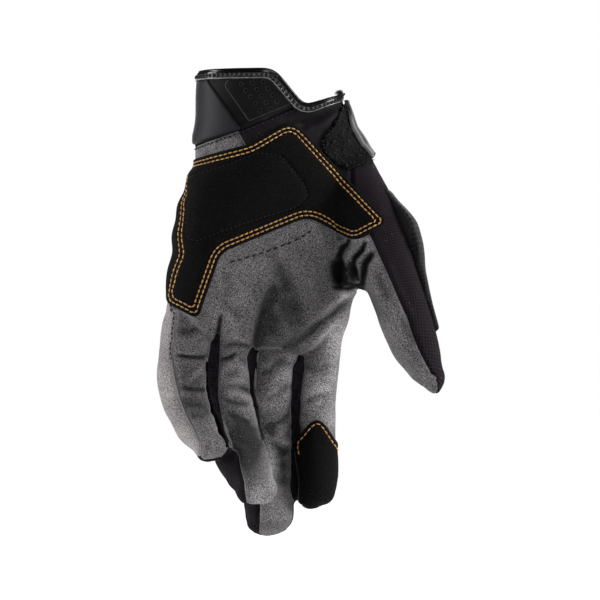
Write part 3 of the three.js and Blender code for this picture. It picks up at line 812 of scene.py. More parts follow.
def flattened(points, faces, down):
    # lays a surface flat, as its cloth was cut, in mm, with v running down
    flat = makeObject("flat", points, faces, 0)
    flat.data.uv_layers.new(name="flat")
    for other in bpy.context.selected_objects:
        other.select_set(False)
    bpy.context.view_layer.objects.active = flat
    flat.select_set(True)
    bpy.ops.object.mode_set(mode="EDIT")
    bpy.ops.mesh.select_all(action="SELECT")
    bpy.ops.uv.unwrap(method="CONFORMAL", margin=0)
    bpy.ops.object.mode_set(mode="OBJECT")
    uv = np.zeros(len(faces) * 6, np.float32)
    flat.data.uv_layers["flat"].uv.foreach_get("vector", uv)
    out = np.zeros((len(points), 2))
    out[faces.ravel()] = uv.reshape(-1, 2)
    bpy.data.objects.remove(flat)
    a, b, c = out[faces].transpose(1, 0, 2)
    flatArea = abs(np.cross(b - a, c - a))
    a, b, c = points[faces].transpose(1, 0, 2)
    realArea = np.linalg.norm(np.cross(b - a, c - a), axis=1)
    out *= np.sqrt(np.median(realArea / np.maximum(flatArea, 1e-12)))
    spread = out - out.mean(0)
    run = (points - points.mean(0)) @ np.array(down)
    slope = spread.T @ (run - run.mean())
    v = slope / np.linalg.norm(slope)
    u = np.array([v[1], -v[0]])
    return spread @ np.stack([u, v], 1)


def weaveMap(made, flat):
    # the flat cloth's coordinates on both sides of a wall
    flat = np.tile(flat, (2, 1))
    layer = made.data.uv_layers.new(name="weave")
    loops = np.zeros(len(made.data.loops), np.int32)
    made.data.loops.foreach_get("vertex_index", loops)
    layer.uv.foreach_set("vector", (flat[loops] * mm).astype(np.float32).ravel())


def finished(made, node):
    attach(made, "root")
    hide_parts(node)
    pieces[node] = made
    return made


def cutPiece(name, node, slot, top, under, faces, **values):
    # a piece with a wall between two surfaces. Its values are the same on both
    both, allFaces = walled(top, under, faces)
    made = makeObject(name, both, allFaces, **{key: np.tile(value, 2) for key, value in values.items()})
    return finished(made, node)


def subdivided(faces, *arrays):
    # each triangle in four
    edges, which = np.unique(np.sort(sidesOf(faces), 1), axis=0, return_inverse=True)
    ab, bc, ca = which.ravel().reshape(3, -1) + len(arrays[0])
    a, b, c = faces.T
    out = np.concatenate([np.stack(t, 1) for t in ((a, ab, ca), (b, bc, ab), (c, ca, bc), (ab, bc, ca))])
    return (out, *[np.concatenate([x, (x[edges[:, 0]] + x[edges[:, 1]]) / 2]) for x in arrays])


napAndPaintedLightSpots = [
    # x, z, radius, how much paler there: patches of nap tone mixed with painted light and painted shade
    (-14, -203, 10, -0.55), (-18, -194, 8, -0.18), (-44, -160, 9, -0.12), (-43, -177, 9, -0.14),
    (-22, -162, 8, 0.1), (-6, -230, 7, 0.25), (34, -165, 9, 0.1), (0, -134, 9, -0.16), (9, -130, 13, -0.16),
    (20, -118, 13, -0.1), (8, -108, 12, -0.08), (-22, -128, 11, 0.1), (-18, -112, 9, 0.05),
    (47, -111.5, 4, 0.25),
    (40, -116.5, 4, 0.2), (31, -124, 5, 0.1), (22, -129.5, 5, 0.06), (37, -133, 5, 0.1), (31, -139, 5, 0.1),
    (-48, -133, 8, -0.08), (-20, -170, 5, 0.1), (-20, -180, 7, -0.08), (1, -186, 7, -0.05), (35, -185, 8, 0.14),
    (38, -145, 10, 0.13), (26, -168, 10, 0.1), (-33, -203, 9, 0.08), (62, -125, 9, -0.08), (88, -165, 8, 0.09),
    (52, -86, 9, 0.14), (-57, -165, 10, 0.1), (2, -205, 12, 0.06), (-2, -178, 10, 0.13), (12, -112, 12, 0.05),
]
paintedRidgeLightAndShade = [
    # painted highlights on top of the folds, and painted shade beside the ring finger's edge: path, width, how
    # much paler
    ([(27, -128.5), (37, -121), (46, -115.8), (49.5, -112)], 1.3, 0.26),
    ([(23.5, -146), (31, -139), (37.5, -131.5), (41, -127)], 1.3, 0.17),
    ([(-47, -167), (-42, -162), (-37, -157)], 1.7, 0.2),
    ([(-28, -146), (-23, -141.6), (-17, -141.4), (-12.5, -145)], 0.9, 0.14),
    ([(-4.5, -182), (1.2, -197), (6.4, -207), (7, -232)], 2.8, -0.24),
    ([(-10, -180), (-4.3, -197), (0.4, -207), (1, -231)], 1.4, 0.2),
    ([(-28, -173.6), (-20, -172.6), (-10, -176)], 1.1, 0.2),
    ([(-21, -150), (-16, -158), (-10.5, -166)], 1.2, 0.12),
    ([(-20, -183), (-13, -186), (-7, -193)], 1.4, 0.12),
    ([(64.5, -117), (70, -132), (75.5, -147)], 1.5, 0.1),
    ([(-1, -170), (5, -164), (13, -158)], 1.6, 0.1),
    ([(-2, -200), (5, -196), (11, -190)], 1.8, 0.1),
    ([(-47, -128), (-41, -133), (-33, -139)], 2.2, 0.1),
    ([(18, -172.5), (26, -170), (34, -171)], 1.6, 0.14),
]


def shadeOf(points):
    # painted light and shade on the suede, fading towards the back
    shade = np.zeros(len(points))
    for x, z, radius, amount in napAndPaintedLightSpots:
        shade += amount * np.exp(-(((points[:, 0] - x) ** 2 + (points[:, 2] - z) ** 2) / radius**2))
    # painted shade along the folds
    for path, width, depth, *_ in skinFolds:
        d, run, length = nearPath(path, points)
        shade -= 0.16 * min(depth, 2.5) * fading(run, length, 0.2) * bell(d / (0.8 * width))
    # painted highlights on the fold tops, and painted shade beside the ring finger's edge
    for path, width, amount in paintedRidgeLightAndShade:
        d, run, length = nearPath(path, points)
        shade += amount * fading(run, length, 0.3) * bell(d / width)
    # lighter tops and darker valleys painted on the streaks and creases
    streaks, creases, onHand = creasesOf(points)
    shade += 0.07 * streaks * onHand + 0.1 * creases * (1 - onHand)
    return shade * np.clip(-points[:, 1] / 8 + 2, 0, 1)


def deepOf(points):
    # painted shadow: how far down a fold a point lies in the dark, fading towards the back
    dark = np.zeros(len(points))
    for path, width, share in paintedFoldShadows:
        dark = np.maximum(dark, share * bell((nearPath(path, points)[0] / width) ** 2))
    return dark * np.clip(-points[:, 1] / 8 + 1.5, 0, 1)


seamRows, printRows, highlightStitchRows = [], [], []


def isoline(points, normals, faces, field, level):
    # the lines on a surface where field has this value, as chains of points with their normals
    above = field > level
    chains, ahead = [], {}
    for face in faces[(above[faces].any(1)) & (~above[faces].all(1))]:
        ends = []
        for k in range(3):
            i, j = face[k], face[(k + 1) % 3]
            if above[i] != above[j]:
                ends.append((bool(above[i]), (min(i, j), max(i, j))))
        ends.sort(reverse=True)
        ahead[ends[0][1]] = ends[1][1]
    starts = [k for k in ahead if k not in set(ahead.values())] or [next(iter(ahead))]
    left = dict(ahead)
    while left:
        key = next((s for s in starts if s in left), next(iter(left)))
        chain = [key]
        while key in left:
            key = left.pop(key)
            chain.append(key)
        i, j = np.array(chain).T
        t = np.clip((level - field[i]) / (field[j] - field[i] + 1e-12), 0, 1)[:, None]
        line = points[i] + t * (points[j] - points[i])
        away = unit(normals[i] + t * (normals[j] - normals[i]))
        for _ in range(6):
            middle = (np.roll(line, 1, 0) + np.roll(line, -1, 0)) / 2
            if chain[0] != chain[-1]:
                middle[0], middle[-1] = line[0], line[-1]
            line = 0.5 * line + 0.5 * middle
        chains.append((line, away))
    return chains


def kept(lines, where, least=4):
    # the runs of these lines that lie where the test holds
    out = []
    for line, away in lines:
        good = where(line)
        if good.all():
            out.append((line, away))
            continue
        if len(line) > 2 and np.allclose(line[0], line[-1]) and good[0]:
            turn = int(np.argmin(good))
            line, away, good = (np.roll(x[:-1], -turn, 0) for x in (line, away, good))
        starts = np.flatnonzero(good & ~np.append(False, good[:-1]))
        ends = np.flatnonzero(good & ~np.append(good[1:], False))
        out += [(line[i:j + 1], away[i:j + 1]) for i, j in zip(starts, ends) if j - i >= least]
    return out


markPath = [(-23, -99.8), (0, -92.6), (12, -88), (23, -82)]  # a row of plain marks under the patch


def beforePinky(points):
    # true in front of the little finger's middle
    middle = np.interp(
        -points[:, 2], [120, 144, 160, 172, 183, 193, 205], [-6, -8, -11, -15, -20, -26.5, -33.5],
    )
    return (points[:, 1] < middle - 3) & (points[:, 2] < -112)


def sewnPanel(name, node, slot, down=None):
    field = np.minimum(regions[node], underCuff) - seamGap / 2
    faces, inward, points, normals = clipped(skinFaces, field, formed, skinNormals)
    least = 0.03 if node.startswith("fourchette") else 1.0
    faces, inward, points, normals = biggestPart(faces, inward, points, normals, least=least)
    normals = unit(normals)
    look = panelLook
    lift = look["puff"] * bell((inward - look["puffAt"]) / 1.2)
    lift -= look["roll"] * bell(inward / look["rollWidth"])
    top = points + normals * lift[:, None]
    # the shade values are painted light and shade, and the fold values are painted shadow
    made = cutPiece(
        name, node, slot, top, top - normals * look["wall"], faces, edge=inward, shade=shadeOf(points),
        deep=deepOf(points),
    )
    if down is not None:
        weaveMap(made, flattened(points, faces, down))

    def sewAlong(rows, field, level, where):
        rows.extend(kept(isoline(top, normals, faces, field, level), where))

    if node == "pinky_side_panel":
        sewAlong(seamRows, inward, 0.9, lambda p: beforePinky(p) & (p[:, 2] > -153))
        # pale stitches painted along the seam's edge below the crease, as its highlight
        sewAlong(highlightStitchRows, inward, 0.8, lambda p: beforePinky(p) & (p[:, 2] < -152) & (p[:, 2] > -205))
    if node in ("palm_panel", "wrist_gusset"):
        sewAlong(seamRows, belowSeam(points), 1.7, lambda p: (p[:, 0] < 32) & (p[:, 1] < 6))
    if node == "palm_panel":
        d, run, length = nearPath(markPath, points)
        away = np.where((run > 1) & (run < length - 1) & (points[:, 1] < 0), d, 9)
        sewAlong(printRows, away, 0, lambda p: (abs(nearPath(markPath, p)[0]) < 0.4) & (p[:, 1] < 0))
    if node == "thumb_front_panel":
        sewAlong(seamRows, inward, 1.3, lambda p: (p[:, 2] < -140) & (p[:, 0] < 82) & (p[:, 1] > -30))


sewnPanel("palmPanel", "palm_panel", "grey_suede")
sewnPanel("thumbFront", "thumb_front_panel", "grey_suede")
sewnPanel("pinkySide", "pinky_side_panel", "pale_suede")
sewnPanel("wristGusset", "wrist_gusset", "stretch_cloth", (0, 0, -1))
sewnPanel("radialPanel", "radial_panel", "stretch_cloth", (0.42, 0, -0.9))
sewnPanel("backPanel", "back_panel", "stretch_cloth", (0, 0, -1))
for k, node in enumerate(["fourchette_pinky_ring", "fourchette_ring_middle", "fourchette_middle_index"]):
    sewnPanel(f"fingerStrip{k + 1}", node, "stretch_cloth", (0, 0, -1))
stage("panels sewn")


# Layers laid on the skin
def crowned(inward, rounding, rim):
    # a piece's share of its full thickness: rim at its edge, rounding off to 1
    ease = 1 - np.clip(inward / rounding, 0, 1)
    return rim + (1 - rim) * np.sqrt(np.clip(1 - ease**2, 0, 1))


def laidOn(field, lift, thick, rounding, finer=1):
    # a flat piece inside field, lying this far over the skin. Its top rounds off towards its edge
    faces, inward, points, normals = clipped(skinFaces, field, skin, skinNormals)
    faces, inward, points, normals = biggestPart(faces, inward, points, normals)
    for _ in range(finer):
        faces, inward, points, normals = subdivided(faces, inward, points, normals)
    normals = unit(normals)
    return faces, inward, points + normals * lift, normals, thick * crowned(inward, rounding, 0.25)


patchLook = {
    "lift": 0.25, "thick": 1.4, "rounding": 1.1,
    "rows": (2.3, 4.5),  # stitch rows, in from the edge
    "valley": 0.4, "valleyWidth": 0.55,
    "quilt": [
        [-46.5, -53, 4], [-29, -47.5], [-16, -42.2], [-5, -39, 6], [5.5, -40.4, 5], [16, -52.5],
        [21, -62, 4], [14, -68.5, 5],
        [-13, -77.2], [-41, -87.5, 3], [-47, -86, 3], [-46, -66],
    ],
    "quiltHeight": 0.9, "quiltValley": 0.45,
    "rimHeight": 0.35, "lumps": 0.25,
}
# how far the patch wraps round the hand's outer side
patchEnd = -5 + 5 * np.clip((skin[:, 2] + 78) / 36, 0, 1)
patchField = np.minimum(inOutline(cut["patch"], skin), patchEnd - skin[:, 1])
faces, inward, points, normals, top = laidOn(
    patchField, patchLook["lift"], patchLook["thick"], patchLook["rounding"],
)
quilt = inOutline(patchLook["quilt"], points)
# on the outer side the stitch rows turn before the patch's edge does
rowEnd = np.interp(-points[:, 2], [45, 55, 70, 95, 110, 130], [-8, -11, -19, -20, -16, -9])
inRows = np.minimum(inward, rowEnd - points[:, 1] + 3 * np.clip(points[:, 0] + 46, 0, None))
for row in patchLook["rows"]:
    top -= patchLook["valley"] * bell((inRows - row) / patchLook["valleyWidth"])
flush = np.clip((points[:, 0] + 50) / 9, 0, 1)  # the patch lies flatter round the hand's outer side
top += flush * patchLook["quiltHeight"] * (1 - np.exp(-np.maximum(quilt, 0) / 3.5))
top += flush * patchLook["rimHeight"] * (1 - np.exp(-np.maximum(np.minimum(-quilt, inward - 5), 0) / 2))
top -= patchLook["quiltValley"] * bell(quilt / 0.8)
top += patchLook["lumps"] * softNoise(points, 11, 7)
patchTop = points + normals * top[:, None]
palmPatch = cutPiece("palmPatch", "palm_patch", "black_suede", patchTop, points, faces, edge=inward)
goldRows = [line for row in patchLook["rows"] for line in isoline(patchTop, normals, faces, inRows, row)]
quiltRows = isoline(patchTop, normals, faces, quilt, 0)

tipLook = {"lift": 0.25, "thick": 1.4, "rounding": 1.0, "row": 2.2, "valley": 0.3}
tipField = np.minimum.reduce(
    [inOutline(cut["fingertip"], skin), between("index", -92, 104), 1.5 - along["index"].gap]
)
faces, inward, points, normals, top = laidOn(tipField, tipLook["lift"], tipLook["thick"], tipLook["rounding"])
tipOutline = inOutline(cut["fingertip"], points)
tipTop = points + normals * (top - tipLook["valley"] * bell((tipOutline - tipLook["row"]) / 0.5))[:, None]
cutPiece("fingertipPatch", "fingertip_patch", "black_suede", tipTop, points, faces, edge=inward)
tipRows = isoline(tipTop, normals, faces, tipOutline, tipLook["row"])
tipEdgeRows = kept(
    isoline(tipTop, normals, faces, inward, 0.45), lambda p: (p[:, 0] < 20) & (p[:, 2] < -206) & (p[:, 1] < 4),
)

loopLook = {"lift": 0.25, "thick": 1.2, "rounding": 0.6}
belowTop = belowCuffTop(skin)
loopField = np.minimum.reduce([
    inOutline(cut["loop"], skin), 6 - skin[:, 1], belowTop - 4.3, np.maximum(-patchField, skin[:, 1]) - 0.3,
])
faces, inward, points, normals, top = laidOn(
    loopField, loopLook["lift"], loopLook["thick"], loopLook["rounding"], 0,
)
loopTop = (points + normals * top[:, None], faces)
cutPiece("loopPatch", "loop_patch", "fuzzy_loop", loopTop[0], points, faces, edge=inward)

strapLook = {
    "lift": 1.7, "thick": 1.4, "rounding": 0.8,
    "tabThick": 1.7, "tabRounding": 1.2, "tabRim": 0.35,
}
tabFront = -5.0  # the y where the tab's folded end shows
tabField = np.minimum.reduce([inOutline(cut["tab"], skin), skin[:, 1] - tabFront, belowTop - 4.0])
strapField = np.minimum.reduce([inOutline(cut["strap"], skin), skin[:, 1] - 6, belowTop - 4.3, -tabField - 0.3])
faces, inward, points, normals, top = laidOn(
    strapField, strapLook["lift"], strapLook["thick"], strapLook["rounding"], 0,
)
strapTop = points + normals * top[:, None]
strap = cutPiece("wristStrap", "wrist_strap", "cuff_cloth", strapTop, points, faces, edge=inward)
weaveMap(strap, flattened(points, faces, (0.94, 0, 0.3)))
faces, inward, points, normals, top = laidOn(
    tabField, strapLook["lift"], strapLook["tabThick"], strapLook["tabRounding"],
)
top += strapLook["tabRim"] * bell((inward - 0.9) / 0.6)
# the folded end gets a painted highlight, weaker towards its upper corner
paintedHighlight = 0.75 * (points[:, 1] - tabFront) + 1.3 * np.clip((points[:, 2] + 22) / 6, 0, 1)
cutPiece("strapTab", "strap_tab", "gloss_rubber", points + normals * top[:, None], points, faces, edge=paintedHighlight)
stage("patches and strap laid on")


# Cuff: a moulded shell round the wrist, its panels and its binding
cuffLook = {
    "proud": 0.8, "wall": 2.6, "roll": 0.8,
    "padThick": 1.3, "padRounding": 1.6, "pullThick": 1.0, "pullRounding": 0.7,
    "columns": 460, "rows": 44,
    "weaveRadius": 38,  # the woven cloth is laid flat round a tube of this radius
}


def cuffEdge(degrees, below):
    # where the cuff's top or its seam crosses the hand's tube, by halving
    low, high = np.full(len(degrees), 0.0), np.full(len(degrees), 4.5)
    for _ in range(34):
        middle = (low + high) / 2
        inside = below(tubePoints("hand", middle, degrees)) > 0
        low, high = np.where(inside, low, middle), np.where(inside, middle, high)
    return (low + high) / 2


def cuffFlat(points):
    return np.stack([np.arctan2(points[:, 0], -points[:, 1]) * cuffLook["weaveRadius"], points[:, 2]], 1)


def cuffGrid(columns, rows, start=0, end=360):
    closed = end - start == 360
    degrees = np.linspace(start, end, columns, endpoint=not closed)
    upperAt = cuffEdge(degrees, belowCuffTop)
    lowerAt = np.maximum(cuffEdge(degrees, belowSeam), upperAt + 0.1)  # at the horn only the binding is left
    at = lowerAt + (upperAt - lowerAt) * np.linspace(0, 1, rows)[:, None]
    points = tubePoints("hand", at.ravel(), np.tile(degrees, rows))
    grid = np.arange(rows * columns).reshape(rows, columns)
    right = np.roll(grid, -1, 1)
    if not closed:
        grid, right = grid[:, :-1], right[:, :-1]
    faces = gridFaces(grid[:-1], right[:-1], right[1:], grid[1:])
    normals = normalsOf(points, faces)
    if (normals[:, :2] * points[:, :2]).sum() < 0:
        faces, normals = faces[:, ::-1], -normals
    return points, faces, normals


def paintedBandShadow(points):
    # painted shadow in the hollow between the cuff's two panels, darker towards the bottom
    band = inOutline([[-32, -2], [-26.6, -2], [-13, -21], [-15.6, -27], [-19, -24]], points)
    low = np.clip((-1 - points[:, 2]) / 14, 0, 1) * (points[:, 1] < 4)
    return 0.85 * low * np.clip(0.5 + band / 2.4, 0, 1)


points, faces, normals = cuffGrid(cuffLook["columns"], cuffLook["rows"])
aboveSeam = -belowSeam(points)
shape = cuffLook["proud"] - cuffLook["roll"] * bell(aboveSeam / 0.9) - 0.35 * bell((aboveSeam - 2.6) / 0.6)
shape += 0.3 * softNoise(points, 13, 11) + trimmed(points)
cuff = cutPiece(
    "cuff", "cuff", "cuff_cloth", points + normals * shape[:, None],
    points - normals * (cuffLook["wall"] - cuffLook["proud"]), faces, edge=np.maximum(aboveSeam, 0),
    deep=paintedBandShadow(points),
)
weaveMap(cuff, cuffFlat(points))


def cuffPanel(name, node, slot, outline, yTo, thick, rounding, start, end, holes=None):
    # a thin panel on the cuff, inside an outline and in front of yTo
    points, faces, normals = cuffGrid(260, 110, start, end)
    topFront = inOutline(cut["cuffTopFront"], points)
    field = np.minimum.reduce([
        inOutline(outline, points), yTo - points[:, 1], topFront - 4.6, -belowSeam(points) - 0.15,
    ])
    if holes is not None:
        field = np.minimum(field, holes(points))
    faces, inward, points, normals = clipped(faces, field, points, normals)
    faces, inward, points, normals = biggestPart(faces, inward, points, normals)
    normals = unit(normals)
    rise = cuffLook["proud"] + trimmed(points) + thick * crowned(inward, rounding, 0.2)
    top = points + normals * rise[:, None]
    onSeam = 3 * np.clip(1.2 + belowSeam(points), 0, 1)  # no worn edge where the panel is sewn in
    made = cutPiece(
        name, node, slot, top, points + normals * 0.6, faces, edge=inward + onSeam, deep=paintedBandShadow(points),
    )
    weaveMap(made, cuffFlat(points))
    return top, faces


holeLook = {
    "radius": 0.74, "rim": 0.12, "rimThick": 0.34,
    "x": -16.1, "z": -0.6, "rows": 5, "columns": 3,  # the first hole, and the last row has one hole less
    "across": 6, "rise": 0.55, "down": 3.63, "slide": 2.48,
}


def holeCentres():
    look = holeLook
    for row in range(look["rows"]):
        for column in range(look["columns"] - (row == look["rows"] - 1)):
            x = look["x"] + column * look["across"] + row * look["slide"]
            yield x, look["z"] + column * look["rise"] - row * look["down"]


def clearOfHoles(points):
    nearest = np.full(len(points), 1e9)
    for x, z in holeCentres():
        nearest = np.minimum(nearest, np.hypot(points[:, 0] - x, points[:, 2] - z))
    return nearest - holeLook["radius"]


cuffPanel(
    "cuffSidePad", "cuff_side_pad", "cuff_cloth", cut["sidePad"], 4, cuffLook["padThick"],
    cuffLook["padRounding"], -130, 0,
)
pullTop = cuffPanel(
    "cuffPullPanel", "cuff_pull_panel", "gloss_rubber", cut["pull"], 0, cuffLook["pullThick"],
    cuffLook["pullRounding"], -60, 45, clearOfHoles,
)

bindingLook = {
    "columns": 1300, "out": 2.3, "inside": 2.4, "over": 1.3, "down": 4.6,
    "groove": 2.5, "grooveDepth": 0.3, "bead": 0.4, "beadWidth": 0.42,
    "pitch": 2.9, "pucker": 0.2, "unevenness": 0.16,
    "hornNarrowing": 0.24,
}


def bindingProfile():
    # outwards and down from the cuff's top edge, one round of the binding's section
    look = bindingLook
    s = np.linspace(0, 1, 15)
    down = look["down"] * s - 0.2
    swell = 0.35 * np.sin(np.pi * np.clip(down / look["groove"], 0, 1))
    bead = look["bead"] * bell((down - look["down"] + 0.7) / look["beadWidth"])
    groove = look["grooveDepth"] * bell((down - look["groove"]) / 0.55)
    outer = np.stack([look["out"] + swell + bead - groove, down], 1)
    inner = np.stack([np.full(9, -look["inside"]), np.linspace(look["down"] - 0.4, 0, 9)], 1)
    angles = np.linspace(np.pi, 0, 9)[1:-1]
    centre, half = (look["out"] - look["inside"]) / 2, (look["out"] + look["inside"]) / 2
    crown = np.stack([centre + half * np.cos(angles), -0.2 - look["over"] * np.sin(angles)], 1)
    foot = np.array([[look["out"] - 0.8, look["down"]], [-look["inside"] + 0.8, look["down"]]])
    return np.concatenate([outer, foot, inner, crown])


def evened(loop, rounds):
    # a closed row of values, each drawn towards its neighbours
    for _ in range(rounds):
        loop = 0.5 * loop + 0.25 * (np.roll(loop, 1, 0) + np.roll(loop, -1, 0))
    return loop


look = bindingLook
count = look["columns"]
degrees = np.linspace(0, 360, count, endpoint=False)
edgeAt = cuffEdge(degrees, belowCuffTop)
line = evened(tubePoints("hand", edgeAt, degrees), 60)
lower = tubePoints("hand", edgeAt + 0.4, degrees)
tangent = unit(np.roll(line, -1, 0) - np.roll(line, 1, 0))
outward = unit(np.cross(tangent, lower - line))
if (outward[:, :2] * line[:, :2]).sum() < 0:
    outward = -outward
run = np.concatenate([[0], np.cumsum(np.linalg.norm(np.diff(line, axis=0), axis=1))])
downward = unit(np.cross(outward, tangent))
if downward[:, 2].mean() > 0:
    downward = -downward
outward, downward = (unit(evened(way, 160)) for way in (outward, downward))  # an even turn at the horn
profile = bindingProfile()
soft = look["unevenness"] * softNoise(np.stack([run, 0 * run, 0 * run], 1), 9, 5)[:, None]
pucker = look["pucker"] * np.cos(run * 2 * np.pi / look["pitch"])[:, None]
pucker = pucker * bell((profile[:, 1] - look["groove"]) / 0.8) + soft
pucker = pucker * (profile[:, 1] > 0.3) * (profile[:, 0] > 0)
narrow = 1 - look["hornNarrowing"] * np.clip((line[:, 0] - 16) / 12, 0, 1)
ring = (
    line[:, None]
    + outward[:, None] * (profile[None, :, :1] + pucker[:, :, None])
    + downward[:, None] * profile[None, :, 1:] * narrow[:, None, None]
)
grid = np.arange(count * len(profile)).reshape(count, -1)
beside = np.roll(grid, -1, 1)
points = ring.reshape(-1, 3)
faces = turnedOut(points, gridFaces(grid, beside, np.roll(beside, -1, 0), np.roll(grid, -1, 0)))
depthDown = np.tile(profile[:, 1], count)
# painted highlights along the binding's lower bead and around its stitch groove
paintedHighlight = np.minimum(abs(depthDown - look["down"] + 0.35), 0.4 * abs(depthDown - look["groove"]) + 0.12)
finished(makeObject("cuffBinding", points, faces, 60, edge=paintedHighlight), "cuff_binding")
grooveAt = int(np.argmin(abs(profile[:15, 1] - look["groove"])))
bindingRows = [(np.append(ring[:, grooveAt], ring[:1, grooveAt], 0), np.append(outward, outward[:1], 0))]
stage("cuff and binding made")


# Thumb guard: a padded shell on the thumb's outer back
guardLook = {
    "back": 244, "lift": 0.25, "rounding": 2.2, "rows": 120, "columns": 60,
    # at, angle of the edge that faces the viewer, thickness
    "form": [
        (1.4, 128, 0.6), (1.75, 126, 1.6), (2.1, 125.5, 4.2), (2.45, 125, 6.2), (3, 128, 5.3), (3.7, 134, 3),
        (4.8, 142, 2.4), (6, 152, 1.8),
    ],
}
look = guardLook
ats, edges, thicks = np.array(look["form"]).T
v = np.linspace(0, 1, look["rows"])
at = ats[0] + (ats[-1] - ats[0]) * v
front, thick = np.interp(at, ats, edges), np.interp(at, ats, thicks)
for row in [front, thick] * 12:
    row[1:-1] = (row[:-2] + row[2:] + 2 * row[1:-1]) / 4
u = np.linspace(0, 1, look["columns"])
degrees = front[:, None] + (look["back"] - front[:, None]) * u
rowsWide = np.repeat(at, look["columns"])
below = tubePoints("thumb", rowsWide, degrees.ravel(), 0.0, look["lift"])
sideways = np.minimum(u, 1 - u) * 16 * rad * (look["back"] - front)[:, None]
inward = np.minimum(sideways, (np.minimum(v, 1 - v) * 85)[:, None]).ravel()
height = np.repeat(thick, look["columns"]) * crowned(inward, look["rounding"], 0.3)
outer = tubePoints("thumb", rowsWide, degrees.ravel(), 0.0, look["lift"] + height)
grid = np.arange(len(outer)).reshape(look["rows"], look["columns"])
faces = gridFaces(grid[:-1, :-1], grid[:-1, 1:], grid[1:, 1:], grid[1:, :-1])
if (normalsOf(outer, faces) * (outer - below)).sum() < 0:
    faces = faces[:, ::-1]
guard = cutPiece("thumbGuard", "thumb_guard", "padded_cloth", outer, below, faces, edge=inward)
weaveMap(guard, np.stack([(degrees.ravel() - 180) * rad * 18, rowsWide * 17.5], 1))
stage("thumb guard made")


# Finishes
def feed(tree, socket, value):
    # a link or a plain value into a socket
    if isinstance(value, bpy.types.NodeSocket):
        tree.links.new(value, socket)
    elif socket.type == "RGBA":
        socket.default_value = (*value, 1)
    else:
        socket.default_value = value


def addNode(tree, kind, inputs=None, **settings):
    node = tree.nodes.new(kind)
    for key, value in settings.items():
        setattr(node, key, value)
    for key, value in (inputs or {}).items():
        feed(tree, node.inputs[key], value)
    return node


def newTree(name, kind, inputs, outputs):
    # each input has its starting number, or the name of its socket's type where it has none
    tree = bpy.data.node_groups.new(name, kind)
    for label, value in inputs.items():
        typeName = {float: "Float", int: "Int"}.get(type(value), value)
        socket = tree.interface.new_socket(label, in_out="INPUT", socket_type=f"NodeSocket{typeName}")
        if typeName != value:
            socket.default_value = value
    for label, typeName in outputs.items():
        tree.interface.new_socket(label, in_out="OUTPUT", socket_type=f"NodeSocket{typeName}")
    return tree, tree.nodes.new("NodeGroupInput").outputs, tree.nodes.new("NodeGroupOutput").inputs


def maths(tree, operation, *values, clamp=False):
    inputs = dict(enumerate(values))
    return addNode(tree, "ShaderNodeMath", inputs, operation=operation, use_clamp=clamp).outputs[0]


def arch(tree, factor):
    # 0 at both ends of a line, 1 in its middle
    return maths(tree, "MULTIPLY", maths(tree, "MULTIPLY", factor, 4.0), maths(tree, "SUBTRACT", 1.0, factor))


def opposite(tree, share):
    return maths(tree, "SUBTRACT", 1.0, share)


def newMaterial(name, colour=None, **sockets):
    made = bpy.data.materials.new(name)
    made.use_nodes = True
    shader = made.node_tree.nodes["Principled BSDF"]
    if colour is not None:
        shader.inputs["Base Color"].default_value = (*colour, 1)
    for label, value in sockets.items():
        shader.inputs[label].default_value = value
    return made, made.node_tree, shader


def blend(tree, factor, a, b):
    # sockets 0, 6 and 7 of a colour mix are its factor and its two colours
    return addNode(tree, "ShaderNodeMix", {0: factor, 6: a, 7: b}, data_type="RGBA").outputs[2]


def noise(tree, place, size, detail=2.0, roughness=0.5):
    # soft noise with lumps of this size in mm, 0 to 1
    return addNode(tree, "ShaderNodeTexNoise", {
        "Vector": place, "Scale": maths(tree, "DIVIDE", 1000.0, size), "Detail": detail, "Roughness": roughness,
    }).outputs["Fac"]


def smoothStep(tree, value, low, high):
    return addNode(tree, "ShaderNodeMapRange", {
        "Value": value, "From Min": low, "From Max": high,
    }, interpolation_type="SMOOTHSTEP").outputs["Result"]


def napGroup():
    # brushed suede: cloudy patches, short fibres that all lean one way, and their height
    tree, given, result = newTree("suedeNap", "ShaderNodeTree", {
        "Place": "Vector", "Cloud Size": 14.0, "Cloud": 0.5, "Fibre Size": 0.8, "Fibre": 0.5, "Middle": 0.5,
    }, {"Tone": "Float", "Grain": "Float", "Height": "Float"})
    cloud = noise(tree, given["Place"], given["Cloud Size"], 1.5, 0.45)
    lean = addNode(
        tree, "ShaderNodeMapping",
        {"Vector": given["Place"], "Rotation": (0.0, 0.7, 0.0), "Scale": (1.0, 1.0, 1.7)},
        vector_type="TEXTURE",
    )
    fibre = noise(tree, lean.outputs[0], given["Fibre Size"], 1.0, 0.5)
    a = maths(tree, "MULTIPLY", maths(tree, "SUBTRACT", cloud, 0.5), given["Cloud"])
    b = maths(tree, "MULTIPLY", maths(tree, "SUBTRACT", fibre, 0.5), given["Fibre"])
    tree.links.new(maths(tree, "ADD", a, given["Middle"]), result["Tone"])
    tree.links.new(maths(tree, "MAXIMUM", maths(tree, "ADD", b, 1.0), 0.12), result["Grain"])
    tree.links.new(maths(tree, "ADD", maths(tree, "MULTIPLY", cloud, 0.6), fibre), result["Height"])
    return tree


